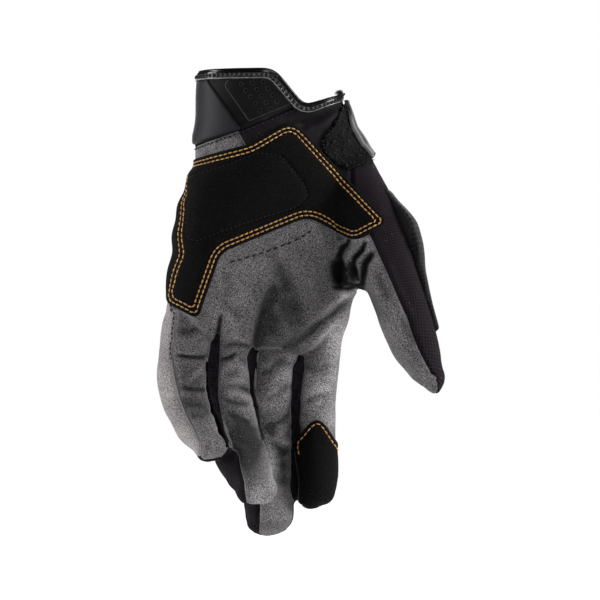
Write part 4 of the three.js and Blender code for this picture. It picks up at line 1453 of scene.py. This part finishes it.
def weaveGroup():
    # ripstop or plain weave on flat cloth coordinates: fine threads, and thicker ones that make a grid
    tree, given, result = newTree("clothWeave", "ShaderNodeTree", {
        "Flat": "Vector", "Thread Pitch": 0.4, "Grid Pitch": 1.55, "Grid Width": 0.22,
    }, {"Grid": "Float", "Thread": "Float", "Height": "Float"})
    parts = addNode(tree, "ShaderNodeSeparateXYZ", {"Vector": given["Flat"]}).outputs
    lines, waves = [], []
    for axis in (parts[0], parts[1]):
        run = maths(tree, "MULTIPLY", axis, 1000.0)
        cell = maths(tree, "PINGPONG", maths(tree, "DIVIDE", run, given["Grid Pitch"]), 0.5)
        core = maths(tree, "MULTIPLY", given["Grid Width"], 0.4)
        lines.append(opposite(tree, smoothStep(tree, cell, core, given["Grid Width"])))
        turns = maths(tree, "MULTIPLY", maths(tree, "DIVIDE", run, given["Thread Pitch"]), 2 * math.pi)
        waves.append(maths(tree, "SINE", turns))
    grid = maths(tree, "MAXIMUM", *lines)
    thread = maths(tree, "ADD", maths(tree, "MULTIPLY", maths(tree, "MULTIPLY", *waves), 0.5), 0.5)
    tree.links.new(grid, result["Grid"])
    tree.links.new(thread, result["Thread"])
    tree.links.new(maths(tree, "ADD", grid, maths(tree, "MULTIPLY", thread, 0.5)), result["Height"])
    return tree


def edgeGroup():
    # rubbed or cut edges, and the painted highlights on the binding and the tab: strongest at the edge, broken
    # up by noise
    tree, given, result = newTree("edgeWearAndHighlightMask", "ShaderNodeTree", {
        "Place": "Vector", "Edge": 0.0, "Width": 1.0,
    }, {"Mask": "Float"})
    ragged = maths(
        tree, "MULTIPLY", maths(tree, "SUBTRACT", noise(tree, given["Place"], 2.0, 3.0, 0.6), 0.5),
        given["Width"],
    )
    far = smoothStep(tree, maths(tree, "ADD", given["Edge"], ragged), 0.0, given["Width"])
    tree.links.new(opposite(tree, far), result["Mask"])
    return tree


def lintGroup():
    # sparse pale specks of dust and lint
    tree, given, result = newTree("lintSpecks", "ShaderNodeTree", {
        "Place": "Vector", "Size": 1.2, "Share": 0.3,
    }, {"Mask": "Float"})
    spots = addNode(
        tree, "ShaderNodeTexVoronoi",
        {"Vector": given["Place"], "Scale": maths(tree, "DIVIDE", 1000.0, given["Size"])},
    )
    speck = opposite(tree, smoothStep(tree, spots.outputs["Distance"], 0.12, 0.32))
    luck = addNode(tree, "ShaderNodeSeparateColor", {"Color": spots.outputs["Color"]}).outputs[0]
    mask = maths(tree, "MULTIPLY", speck, maths(tree, "LESS_THAN", luck, given["Share"]))
    tree.links.new(mask, result["Mask"])
    return tree


nap, weave, edgeWearAndHighlightGroup, lint = napGroup(), weaveGroup(), edgeGroup(), lintGroup()
# the colour painted as shadow into the folds of the cloth
paintedShadowBlack = (0.0015, 0.0014, 0.0016)  # cloth in the dark of a fold


def useGroup(tree, group, inputs):
    return addNode(tree, "ShaderNodeGroup", inputs, node_tree=group).outputs


def attribute(tree, name):
    return addNode(tree, "ShaderNodeAttribute", attribute_name=name).outputs["Fac"]


def bumped(tree, shader, height, distance, strength=1.0):
    node = addNode(tree, "ShaderNodeBump", {"Height": height, "Distance": distance * mm, "Strength": strength})
    tree.links.new(node.outputs["Normal"], shader.inputs["Normal"])


def objectPlace(tree):
    return addNode(tree, "ShaderNodeTexCoord").outputs["Object"]


def edgeWearAndHighlight(tree, place, colour, look):
    # the colour with its rubbed edges and its painted highlights
    edge = useGroup(tree, edgeWearAndHighlightGroup, {"Place": place, "Edge": attribute(tree, "edge"), "Width": look["edgeWidth"]})
    return blend(tree, maths(tree, "MULTIPLY", edge["Mask"], look["edgeShare"]), colour, look["edge"])


def suedeFinish(name, look):
    # brushed suede, paler where its edges are rubbed, with painted light and shade from its shade attribute and
    # painted shadow in the folds
    made, tree, shader = newMaterial(name, **{
        "Roughness": 0.95, "Specular IOR Level": 0.15, "Sheen Weight": look["sheen"], "Sheen Roughness": 0.45,
    })
    place = objectPlace(tree)
    brushed = useGroup(tree, nap, {
        "Place": place, "Cloud Size": look["cloudSize"], "Cloud": look["cloud"],
        "Fibre Size": look["fibreSize"], "Fibre": look["fibre"], "Middle": look["middle"],
    })
    # the shade attribute adds painted light and shade to the nap's tone
    tone = maths(
        tree, "MAXIMUM", maths(tree, "ADD", brushed["Tone"], attribute(tree, "shade"), clamp=True), 0.07,
    )
    colour = blend(tree, tone, look["dark"], look["light"])
    grained = addNode(tree, "ShaderNodeHueSaturation", {"Color": colour, "Value": brushed["Grain"]})
    colour = grained.outputs["Color"]
    colour = edgeWearAndHighlight(tree, place, colour, look)
    specks = useGroup(tree, lint, {"Place": place, "Size": look["speckSize"], "Share": look["specks"]})
    colour = blend(tree, maths(tree, "MULTIPLY", specks["Mask"], look["speckShare"]), colour, look["speck"])
    # painted shadow in the folds
    colour = blend(tree, attribute(tree, "deep"), colour, look["deep"])
    tree.links.new(colour, shader.inputs["Base Color"])
    bumped(tree, shader, brushed["Height"], look["bump"])
    return made


def clothFinish(name, look):
    # woven cloth on its flat coordinates
    made, tree, shader = newMaterial(name, **{
        "Specular IOR Level": look["gloss"], "Sheen Weight": look["sheen"], "Sheen Roughness": 0.4,
    })
    place = objectPlace(tree)
    flat = addNode(tree, "ShaderNodeUVMap", uv_map="weave").outputs["UV"]
    woven = useGroup(tree, weave, {
        "Flat": flat, "Thread Pitch": look["threadPitch"], "Grid Pitch": look["gridPitch"],
        "Grid Width": look["gridWidth"],
    })
    ground = blend(tree, woven["Thread"], look["dark"], look["light"])
    colour = blend(tree, maths(tree, "MULTIPLY", woven["Grid"], look["gridShare"]), ground, look["grid"])
    specks = useGroup(tree, lint, {"Place": place, "Size": 1.6, "Share": look["specks"]})
    colour = blend(tree, maths(tree, "MULTIPLY", specks["Mask"], 0.6), colour, look["speck"])
    # painted shadow in the folds
    colour = blend(tree, attribute(tree, "deep"), colour, paintedShadowBlack)
    tree.links.new(colour, shader.inputs["Base Color"])
    tree.links.new(
        maths(tree, "SUBTRACT", look["roughness"], maths(tree, "MULTIPLY", woven["Grid"], 0.12)),
        shader.inputs["Roughness"],
    )
    bumped(tree, shader, woven["Height"], look["bump"])
    return made


def rubberFinish(name, look):
    # glossy coated leather or rubber, finely grained
    made, tree, shader = newMaterial(name, **{"Specular IOR Level": look["gloss"]})
    place = objectPlace(tree)
    grain = addNode(
        tree, "ShaderNodeTexVoronoi", {"Vector": place, "Scale": 1000.0 / look["grain"]}, feature="SMOOTH_F1",
    )
    smear = noise(tree, place, look.get("smear", 9.0), 3.0, 0.6)
    colour = blend(tree, smear, look["dark"], look["light"])
    # paler edges, painted as highlights on the binding and the tab
    colour = edgeWearAndHighlight(tree, place, colour, look)
    tree.links.new(colour, shader.inputs["Base Color"])
    rough = addNode(
        tree, "ShaderNodeMapRange", {"Value": smear, "To Min": look["smooth"], "To Max": look["rough"]},
    )
    tree.links.new(rough.outputs["Result"], shader.inputs["Roughness"])
    bumped(tree, shader, grain.outputs["Distance"], look["bump"])
    return made


def threadFinish(name, dark, light, roughness, sheen):
    made, tree, shader = newMaterial(name, **{"Roughness": roughness, "Sheen Weight": sheen})
    place = objectPlace(tree)
    twist = noise(tree, place, 0.5, 2.0)
    tree.links.new(blend(tree, twist, dark, light), shader.inputs["Base Color"])
    bumped(tree, shader, twist, 0.08)
    return made


# the first colour of each look is painted into the folds as shadow
suedeLooks = {
    "greySuede": {
        "deep": (0.002, 0.002, 0.002), "dark": (0.002, 0.002, 0.002), "light": (0.47, 0.45, 0.457),
        "middle": 0.3, "cloudSize": 24.0, "cloud": 0.3, "fibreSize": 0.42, "fibre": 5.4, "sheen": 0.06,
        "edge": (0.3, 0.29, 0.3), "edgeWidth": 0.8, "edgeShare": 0.6, "speckSize": 1.7, "specks": 0.12,
        "speckShare": 0.25, "speck": (0.4, 0.39, 0.4), "bump": 0.3,
    },
    "paleSuede": {
        "deep": (0.01, 0.009, 0.009), "dark": (0.08, 0.072, 0.074), "light": (0.53, 0.49, 0.495),
        "middle": 0.46, "cloudSize": 18.0, "cloud": 0.4, "fibreSize": 0.42, "fibre": 3.6, "sheen": 0.06,
        "edge": (0.45, 0.43, 0.44), "edgeWidth": 0.8, "edgeShare": 0.5, "speckSize": 1.7, "specks": 0.1,
        "speckShare": 0.2, "speck": (0.5, 0.5, 0.5), "bump": 0.3,
    },
    "blackSuede": {
        "deep": (0.001, 0.001, 0.001), "dark": (0.001, 0.001, 0.001), "light": (0.0028, 0.0027, 0.0024),
        "middle": 0.45, "cloudSize": 12.0, "cloud": 0.9, "fibreSize": 0.5, "fibre": 7.0, "sheen": 0.0,
        "edge": (0.004, 0.004, 0.004), "edgeWidth": 1.3, "edgeShare": 0.8, "speckSize": 1.15,
        "specks": 0.25, "speckShare": 0.3, "speck": (0.05, 0.048, 0.045), "bump": 0.25,
    },
}
clothLooks = {
    "ripstopCloth": {
        "dark": (0.003, 0.0018, 0.003), "light": (0.0083, 0.0052, 0.0082), "threadPitch": 0.42,
        "gridPitch": 1.55, "gridWidth": 0.17, "gridShare": 0.8, "grid": (0.019, 0.013, 0.0186),
        "specks": 0.05, "speck": (0.1, 0.09, 0.1), "roughness": 0.85, "gloss": 0.12, "sheen": 0.0,
        "bump": 0.12,
    },
    "stretchCloth": {
        "dark": (0.003, 0.0023, 0.0034), "light": (0.013, 0.0095, 0.013), "threadPitch": 0.5,
        "gridPitch": 0.9, "gridWidth": 0.2, "gridShare": 0.3, "grid": (0.012, 0.01, 0.013), "specks": 0.07,
        "speck": (0.08, 0.08, 0.08), "roughness": 0.88, "gloss": 0.15, "sheen": 0.0, "bump": 0.1,
    },
    "cuffPad": {
        "dark": (0.0065, 0.0054, 0.0076), "light": (0.0098, 0.0082, 0.0112), "threadPitch": 0.45,
        "gridPitch": 0.9, "gridWidth": 0.2, "gridShare": 0.15, "grid": (0.025, 0.0215, 0.0255),
        "specks": 0.02, "speck": (0.12, 0.11, 0.12), "roughness": 0.6, "gloss": 0.25, "sheen": 0.02,
        "bump": 0.04,
    },
    "cuffCloth": {
        "dark": (0.002, 0.0017, 0.0026), "light": (0.004, 0.0033, 0.0048), "threadPitch": 0.45,
        "gridPitch": 0.9, "gridWidth": 0.2, "gridShare": 0.15, "grid": (0.04, 0.035, 0.04), "specks": 0.02,
        "speck": (0.1, 0.09, 0.1), "roughness": 0.7, "gloss": 0.14, "sheen": 0.0, "bump": 0.04,
    },
    "paddedCloth": {
        "dark": (0.0012, 0.0012, 0.0015), "light": (0.0055, 0.0053, 0.0058), "threadPitch": 0.7,
        "gridPitch": 2.4, "gridWidth": 0.3, "gridShare": 0.5, "grid": (0.018, 0.0175, 0.0185),
        "specks": 0.08, "speck": (0.09, 0.09, 0.09), "roughness": 0.66, "gloss": 0.2, "sheen": 0.0,
        "bump": 0.3,
    },
}
rubberLooks = {
    # the binding: its edge colour is painted as highlights along its lower bead and around its stitch groove
    "glossRubber": {
        "dark": (0.001, 0.001, 0.0015), "light": (0.003, 0.003, 0.004), "grain": 0.9, "gloss": 0.4,
        "edge": (0.3, 0.3, 0.31), "edgeWidth": 0.6, "edgeShare": 0.75, "smooth": 0.14, "rough": 0.24,
        "bump": 0.04,
    },
    "pullRubber": {
        "dark": (0.0015, 0.0014, 0.0018), "light": (0.0035, 0.0032, 0.004), "grain": 0.8, "gloss": 0.22,
        "edge": (0.06, 0.06, 0.064), "edgeWidth": 0.8, "edgeShare": 0.6, "smooth": 0.42, "rough": 0.58,
        "bump": 0.05,
    },
    # the tab: its edge colour is painted as a highlight on its folded end
    "tabRubber": {
        "dark": (0.002, 0.002, 0.003), "light": (0.005, 0.005, 0.006), "grain": 0.8, "gloss": 0.2,
        "edge": (0.2, 0.197, 0.205), "edgeWidth": 1.3, "edgeShare": 0.95, "smooth": 0.4, "rough": 0.55,
        "bump": 0.04,
    },
    "loopYarn": {
        "smear": 1.1, "dark": (0.0005, 0.0005, 0.0005), "light": (0.07, 0.07, 0.072), "grain": 0.6,
        "gloss": 0.1, "edge": (0.05, 0.05, 0.05), "edgeWidth": 1.0, "edgeShare": 0.0, "smooth": 0.4,
        "rough": 0.6, "bump": 0.02,
    },
    "fuzzyLoop": {
        "dark": (0.001, 0.001, 0.001), "light": (0.002, 0.002, 0.002), "grain": 0.6, "gloss": 0.1,
        "edge": (0.002, 0.002, 0.002), "edgeWidth": 1.0, "edgeShare": 0.3, "smooth": 0.6, "rough": 0.9,
        "bump": 0.15,
    },
}
threadLooks = {
    # dark, light, roughness, sheen
    "goldThread": ((0.3, 0.12, 0.018), (0.95, 0.55, 0.17), 0.4, 0.15),
    "greyThread": ((0.03, 0.03, 0.032), (0.12, 0.12, 0.125), 0.7, 0.0),
    # painted highlight along a seam's edge
    "highlightThread": ((0.2, 0.19, 0.19), (0.5, 0.48, 0.48), 0.8, 0.0),
    "blackThread": ((0.002, 0.002, 0.0025), (0.008, 0.0078, 0.0085), 0.8, 0.0),
}
finishes = {name: suedeFinish(name, look) for name, look in suedeLooks.items()}
finishes |= {name: clothFinish(name, look) for name, look in clothLooks.items()}
finishes |= {name: rubberFinish(name, look) for name, look in rubberLooks.items()}
finishes |= {name: threadFinish(name, *look) for name, look in threadLooks.items()}

finishOf = {
    "palm_panel": "greySuede", "thumb_front_panel": "greySuede", "pinky_side_panel": "paleSuede",
    "palm_patch": "blackSuede", "fingertip_patch": "blackSuede", "thumb_guard": "paddedCloth",
    "radial_panel": "ripstopCloth", "back_panel": "ripstopCloth", "wrist_gusset": "stretchCloth",
    "fourchette_pinky_ring": "stretchCloth", "fourchette_ring_middle": "stretchCloth",
    "fourchette_middle_index": "stretchCloth",
    "cuff": "cuffCloth", "cuff_side_pad": "cuffPad", "wrist_strap": "cuffCloth",
    "cuff_pull_panel": "pullRubber", "cuff_binding": "glossRubber", "strap_tab": "tabRubber",
    "loop_patch": "fuzzyLoop",
}
for node, made in pieces.items():
    made.data.materials.append(finishes[finishOf[node]])
stage("finishes mixed")


# Geometry Nodes: stitches, hole rims and pile
def bowedLine(tree, start, end, points, pushed, sideways):
    # a short line, its middle pushed sideways along X or Z
    line = addNode(tree, "GeometryNodeCurvePrimitiveLine", {"Start": start, "End": end})
    core = addNode(tree, "GeometryNodeResampleCurve", {"Curve": line.outputs["Curve"], "Count": points})
    way = addNode(tree, "ShaderNodeCombineXYZ", {sideways: pushed}).outputs[0]
    inputs = {"Geometry": core.outputs["Curve"], "Offset": way}
    return addNode(tree, "GeometryNodeSetPosition", inputs).outputs[0]


def thickened(tree, curve, thickness, sides, **more):
    section = addNode(tree, "GeometryNodeCurvePrimitiveCircle", {
        "Resolution": sides, "Radius": maths(tree, "MULTIPLY", thickness, 0.5),
    }).outputs["Curve"]
    inputs = {"Curve": curve, "Profile Curve": section, **more}
    return addNode(tree, "GeometryNodeCurveToMesh", inputs).outputs["Mesh"]


def strewnOn(tree, points, shape, rotation, finish, result, smooth=True):
    # one copy of a shape on each point, made real and given its material
    copies = addNode(
        tree, "GeometryNodeInstanceOnPoints", {"Points": points, "Instance": shape, "Rotation": rotation},
    )
    made = addNode(tree, "GeometryNodeRealizeInstances", {"Geometry": copies.outputs[0]}).outputs[0]
    if smooth:
        made = addNode(tree, "GeometryNodeSetShadeSmooth", {"Geometry": made}).outputs[0]
    dyed = addNode(tree, "GeometryNodeSetMaterial", {"Geometry": made, "Material": finish})
    tree.links.new(dyed.outputs[0], result)
    return tree


def upright(tree, ahead=None):
    # stands a copy up on the away vector of its point
    away = addNode(tree, "GeometryNodeInputNamedAttribute", {"Name": "away"}, data_type="FLOAT_VECTOR")
    inputs = {"Vector": away.outputs["Attribute"]} | ({} if ahead is None else {"Rotation": ahead})
    pivot = "AUTO" if ahead is None else "X"
    return addNode(tree, "FunctionNodeAlignRotationToVector", inputs, axis="Z", pivot_axis=pivot).outputs[0]


def chance(tree, low, high, seed):
    inputs = {"Min": low, "Max": high, "Seed": seed}
    return addNode(tree, "FunctionNodeRandomValue", inputs, data_type="FLOAT_VECTOR").outputs[0]


def turnedBy(tree, rotation, angles):
    turn = addNode(tree, "FunctionNodeEulerToRotation", {"Euler": angles})
    return addNode(tree, "FunctionNodeRotateRotation", {
        "Rotation": rotation, "Rotate By": turn.outputs[0],
    }, rotation_space="LOCAL").outputs[0]


def stitchTree():
    tree, given, result = newTree("stitchRow", "GeometryNodeTree", {
        "Path": "Geometry", "Pitch": 0.002, "Length": 0.0016, "Thickness": 0.0005, "Rise": 0.0003,
        "Sink": 0.0001, "Wobble": 0.06, "Thread": "Material",
    }, {"Stitches": "Geometry"})
    half = maths(tree, "MULTIPLY", given["Length"], 0.5)
    start = addNode(tree, "ShaderNodeCombineXYZ", {"X": maths(tree, "MULTIPLY", half, -1.0)}).outputs[0]
    end = addNode(tree, "ShaderNodeCombineXYZ", {"X": half}).outputs[0]
    bow = arch(tree, addNode(tree, "GeometryNodeSplineParameter").outputs["Factor"])
    lift = maths(tree, "SUBTRACT", maths(tree, "MULTIPLY", bow, given["Rise"]), given["Sink"])
    plump = maths(tree, "ADD", maths(tree, "MULTIPLY", maths(tree, "POWER", bow, 0.4), 0.65), 0.35)
    bent = bowedLine(tree, start, end, 6, lift, "Z")
    stitch = thickened(tree, bent, given["Thickness"], 6, **{"Scale": plump, "Fill Caps": True})
    path = addNode(tree, "GeometryNodeMeshToCurve", {"Mesh": given["Path"]})
    spaced = addNode(tree, "GeometryNodeResampleCurve", {
        "Curve": path.outputs[0], "Length": given["Pitch"],
    }, mode="LENGTH")
    ahead = addNode(tree, "FunctionNodeAlignRotationToVector", {
        "Vector": addNode(tree, "GeometryNodeInputTangent").outputs[0],
    }, axis="X")
    wobble = addNode(tree, "ShaderNodeVectorMath", {
        0: chance(tree, (-1, -1, -1), (1, 1, 1), 5), "Scale": given["Wobble"],
    }, operation="SCALE")
    turned = turnedBy(tree, upright(tree, ahead.outputs[0]), wobble.outputs[0])
    return strewnOn(tree, spaced.outputs["Curve"], stitch, turned, given["Thread"], result["Stitches"])


def pileTree():
    # small hooked hairs, strewn over a surface
    tree, given, result = newTree("hairPile", "GeometryNodeTree", {
        "Cloth": "Geometry", "Density": 400000.0, "Height": 0.001, "Thickness": 0.0003, "Lean": 0.6, "Seed": 3,
        "Yarn": "Material",
    }, {"Pile": "Geometry"})
    strewn = addNode(tree, "GeometryNodeDistributePointsOnFaces", {
        "Mesh": given["Cloth"], "Density": given["Density"], "Seed": given["Seed"],
    })
    top = addNode(tree, "ShaderNodeCombineXYZ", {"Z": given["Height"]}).outputs[0]
    bow = arch(tree, addNode(tree, "GeometryNodeSplineParameter").outputs["Factor"])
    side = maths(tree, "MULTIPLY", bow, maths(tree, "MULTIPLY", given["Height"], 0.7))
    bent = bowedLine(tree, (0, 0, 0), top, 5, side, "X")
    hair = thickened(tree, bent, given["Thickness"], 4, **{"Fill Caps": True})
    reach = addNode(tree, "ShaderNodeCombineXYZ", {"X": given["Lean"], "Y": given["Lean"], "Z": 1.0})
    lean = addNode(tree, "ShaderNodeVectorMath", {
        0: chance(tree, (-1, -1, -3.1), (1, 1, 3.1), given["Seed"]), 1: reach.outputs[0],
    }, operation="MULTIPLY")
    turned = turnedBy(tree, strewn.outputs["Rotation"], lean.outputs[0])
    return strewnOn(tree, strewn.outputs["Points"], hair, turned, given["Yarn"], result["Pile"], smooth=False)


def rimTree():
    # a raised rim round each point of a mesh, upright on its away vector
    tree, given, result = newTree("holeRims", "GeometryNodeTree", {
        "Centres": "Geometry", "Radius": 0.0009, "Thickness": 0.0004, "Finish": "Material",
    }, {"Rims": "Geometry"})
    hoop = addNode(tree, "GeometryNodeCurvePrimitiveCircle", {"Resolution": 14, "Radius": given["Radius"]})
    rim = thickened(tree, hoop.outputs["Curve"], given["Thickness"], 6)
    return strewnOn(tree, given["Centres"], rim, upright(tree), given["Finish"], result["Rims"])


def grown(name, source, tree, settings):
    # runs a tree on an object and keeps its result as a plain mesh
    modifier = source.modifiers.new(tree.name, "NODES")
    modifier.node_group = tree
    sockets = {s.name: s.identifier for s in tree.interface.items_tree if s.in_out == "INPUT"}
    for label, value in settings.items():
        modifier[sockets[label]] = value
    bpy.context.view_layer.update()
    mesh = bpy.data.meshes.new_from_object(source.evaluated_get(bpy.context.evaluated_depsgraph_get()))
    source.modifiers.clear()
    bpy.data.objects.remove(source)
    mesh.name = name
    made = bpy.data.objects.new(name, mesh)
    bpy.context.scene.collection.objects.link(made)
    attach(made, "root")


def pathObject(name, lines):
    # lines of points in mm, each with the way its thread faces
    points = np.concatenate([line for line, away in lines]) * mm
    away = np.concatenate([unit(away) for line, away in lines])
    edges, first = [], 0
    for line, _ in lines:
        ids = np.arange(first, first + len(line))
        edges.append(np.stack([ids[:-1], ids[1:]], 1))
        first += len(line)
    mesh = bpy.data.meshes.new(name)
    mesh.from_pydata(points.tolist(), np.concatenate(edges).tolist() if edges else [], [])
    mesh.attributes.new("away", "FLOAT_VECTOR", "POINT").data.foreach_set(
        "vector", away.astype(np.float32).ravel(),
    )
    made = bpy.data.objects.new(name, mesh)
    bpy.context.scene.collection.objects.link(made)
    return made


stitches = stitchTree()
threadLook = {
    "goldStitches": dict(pitch=2.97, length=2.5, thick=0.74, rise=0.42, sink=0.14, wobble=0.08),
    "tipStitches": dict(pitch=3.1, length=2.5, thick=0.7, rise=0.4, sink=0.12, wobble=0.08),
    "quiltStitches": dict(pitch=2.5, length=1.5, thick=0.42, rise=0.2, sink=0.02, wobble=0.05),
    "bindingStitches": dict(pitch=2.9, length=1.8, thick=1.3, rise=0.6, sink=-0.1, wobble=0.04),
    "seamHighlightStitches": dict(pitch=1.9, length=1.75, thick=0.5, rise=0.3, sink=-0.12, wobble=0.08),
    "tipEdge": dict(pitch=1.9, length=1.8, thick=0.4, rise=0.05, sink=0.0, wobble=0.12),
    "printMarks": dict(pitch=4.2, length=2.5, thick=1.0, rise=0.16, sink=-0.25, wobble=0.0),
    "seamStitches": dict(pitch=2.7, length=1.95, thick=0.8, rise=0.34, sink=-0.14, wobble=0.05),
}


def sewn(name, lines, thread):
    # a row of stitches along these lines
    look = threadLook[name]
    grown(name, pathObject(name + "Path", lines), stitches, {
        "Pitch": look["pitch"] * mm, "Length": look["length"] * mm, "Thickness": look["thick"] * mm,
        "Rise": look["rise"] * mm, "Sink": look["sink"] * mm, "Wobble": look["wobble"],
        "Thread": finishes[thread],
    })


sewn("goldStitches", goldRows, "goldThread")
sewn("tipStitches", kept(tipRows, lambda p: (p[:, 2] > -206) & (p[:, 1] < 14)), "goldThread")
sewn("quiltStitches", quiltRows, "blackThread")
sewn("tipEdge", tipEdgeRows, "greyThread")
sewn("bindingStitches", bindingRows, "blackThread")
sewn("seamStitches", seamRows, "blackThread")
# pale stitches that stand for the highlight on the little finger's seam edge
sewn("seamHighlightStitches", highlightStitchRows, "highlightThread")
sewn("printMarks", printRows, "blackThread")

holePlaces = []
panelTree = BVHTree.FromPolygons(*(x.tolist() for x in pullTop))
for x, z in holeCentres():
    beside = [(1.1, 0), (-1.1, 0), (0, 1.1), (0, -1.1)]
    hits = [panelTree.ray_cast(Vector((x + i, -90, z + j)), Vector((0, 1, 0))) for i, j in beside]
    hits = [h for h in hits if h[0] is not None]
    if len(hits) > 2:
        holePlaces.append((np.mean([h[0] for h in hits], 0)[None], np.mean([h[1] for h in hits], 0)[None]))
grown("holeRims", pathObject("holePlaces", holePlaces), rimTree(), {
    "Radius": (holeLook["radius"] + holeLook["rim"]) * mm, "Thickness": holeLook["rimThick"] * mm,
    "Finish": finishes["blackThread"],
})

pileLook = {"density": 300000.0, "height": 1.1, "thick": 0.34, "lean": 0.9, "seed": 3}
grown("loopPile", makeObject("pileCloth", *loopTop), pileTree(), {
    "Density": pileLook["density"], "Height": pileLook["height"] * mm, "Thickness": pileLook["thick"] * mm,
    "Lean": pileLook["lean"], "Seed": pileLook["seed"], "Yarn": finishes["loopYarn"],
})
stage("stitches, rims and pile made")


# Stage, light and camera
stageLook = {
    "floorAt": -0.32, "floorSize": 6.0,
    "distance": 3.0, "aim": (0.01624, 0.0, -0.1204), "seen": 0.336, "sensor": 36,
    "fill": 0.06,  # how much light the white surroundings give
}
corners = np.array([[-1, -1, 0], [1, -1, 0], [1, 1, 0], [-1, 1, 0]]) * stageLook["floorSize"] / 2
corners[:, 2] = stageLook["floorAt"]
floor = makeObject("floor", corners / mm, np.array([[0, 1, 2], [0, 2, 3]]), 0)
floorWhite, floorTree, floorShader = newMaterial("floorWhite", (0.9, 0.9, 0.9), Roughness=0.8)
floorShader.inputs["Emission Color"].default_value = (1, 1, 1, 1)
# the camera sees the floor as plain white
seen = addNode(floorTree, "ShaderNodeLightPath").outputs["Is Camera Ray"]
floorTree.links.new(maths(floorTree, "MULTIPLY", seen, 1.0), floorShader.inputs["Emission Strength"])
floor.data.materials.append(floorWhite)


gloveMiddle = (0, 0, -0.12)


def softbox(name, place, size, power):
    # a white light aimed at the glove's middle
    light = bpy.data.lights.new(name, "AREA")
    light.shape, light.size, light.size_y = "RECTANGLE", *size
    light.energy = power
    made = bpy.data.objects.new(name, light)
    made.location = place
    made.rotation_euler = (Vector(gloveMiddle) - Vector(place)).to_track_quat("-Z", "Y").to_euler()
    bpy.context.scene.collection.objects.link(made)


softbox("leftStrip", (-1.25, -0.1, 0.05), (0.5, 1.6), 21)
softbox("rightStrip", (1.25, -0.05, 0.05), (0.5, 1.6), 30)
softbox("upperFront", (0.6, -1.2, 0.9), (0.5, 0.4), 6)
softbox("backLight", (0.1, 1.3, 0.4), (1.4, 1.0), 12)

world = bpy.data.worlds.new("studio")
bpy.context.scene.world = world
world.use_nodes = True
tree = world.node_tree
back = tree.nodes["Background"]
seen = addNode(tree, "ShaderNodeLightPath").outputs["Is Camera Ray"]
mix = addNode(tree, "ShaderNodeMix", {"Factor": seen, "A": stageLook["fill"], "B": 1.0}, data_type="FLOAT")
tree.links.new(mix.outputs["Result"], back.inputs["Strength"])
back.inputs["Color"].default_value = (1, 1, 1, 1)

lens = bpy.data.cameras.new("photoCamera")
lens.sensor_width = stageLook["sensor"]
lens.lens = stageLook["sensor"] * stageLook["distance"] / stageLook["seen"]
lens.clip_end = 50
camera = bpy.data.objects.new("photoCamera", lens)
aim = Vector(stageLook["aim"])
camera.location = aim + Vector((0, -stageLook["distance"], 0))
camera.rotation_euler = (math.pi / 2, 0, 0)
bpy.context.scene.collection.objects.link(camera)
bpy.context.scene.camera = camera
bpy.context.scene.view_settings.view_transform = "Standard"

bpy.context.view_layer.update()
stage("ready")
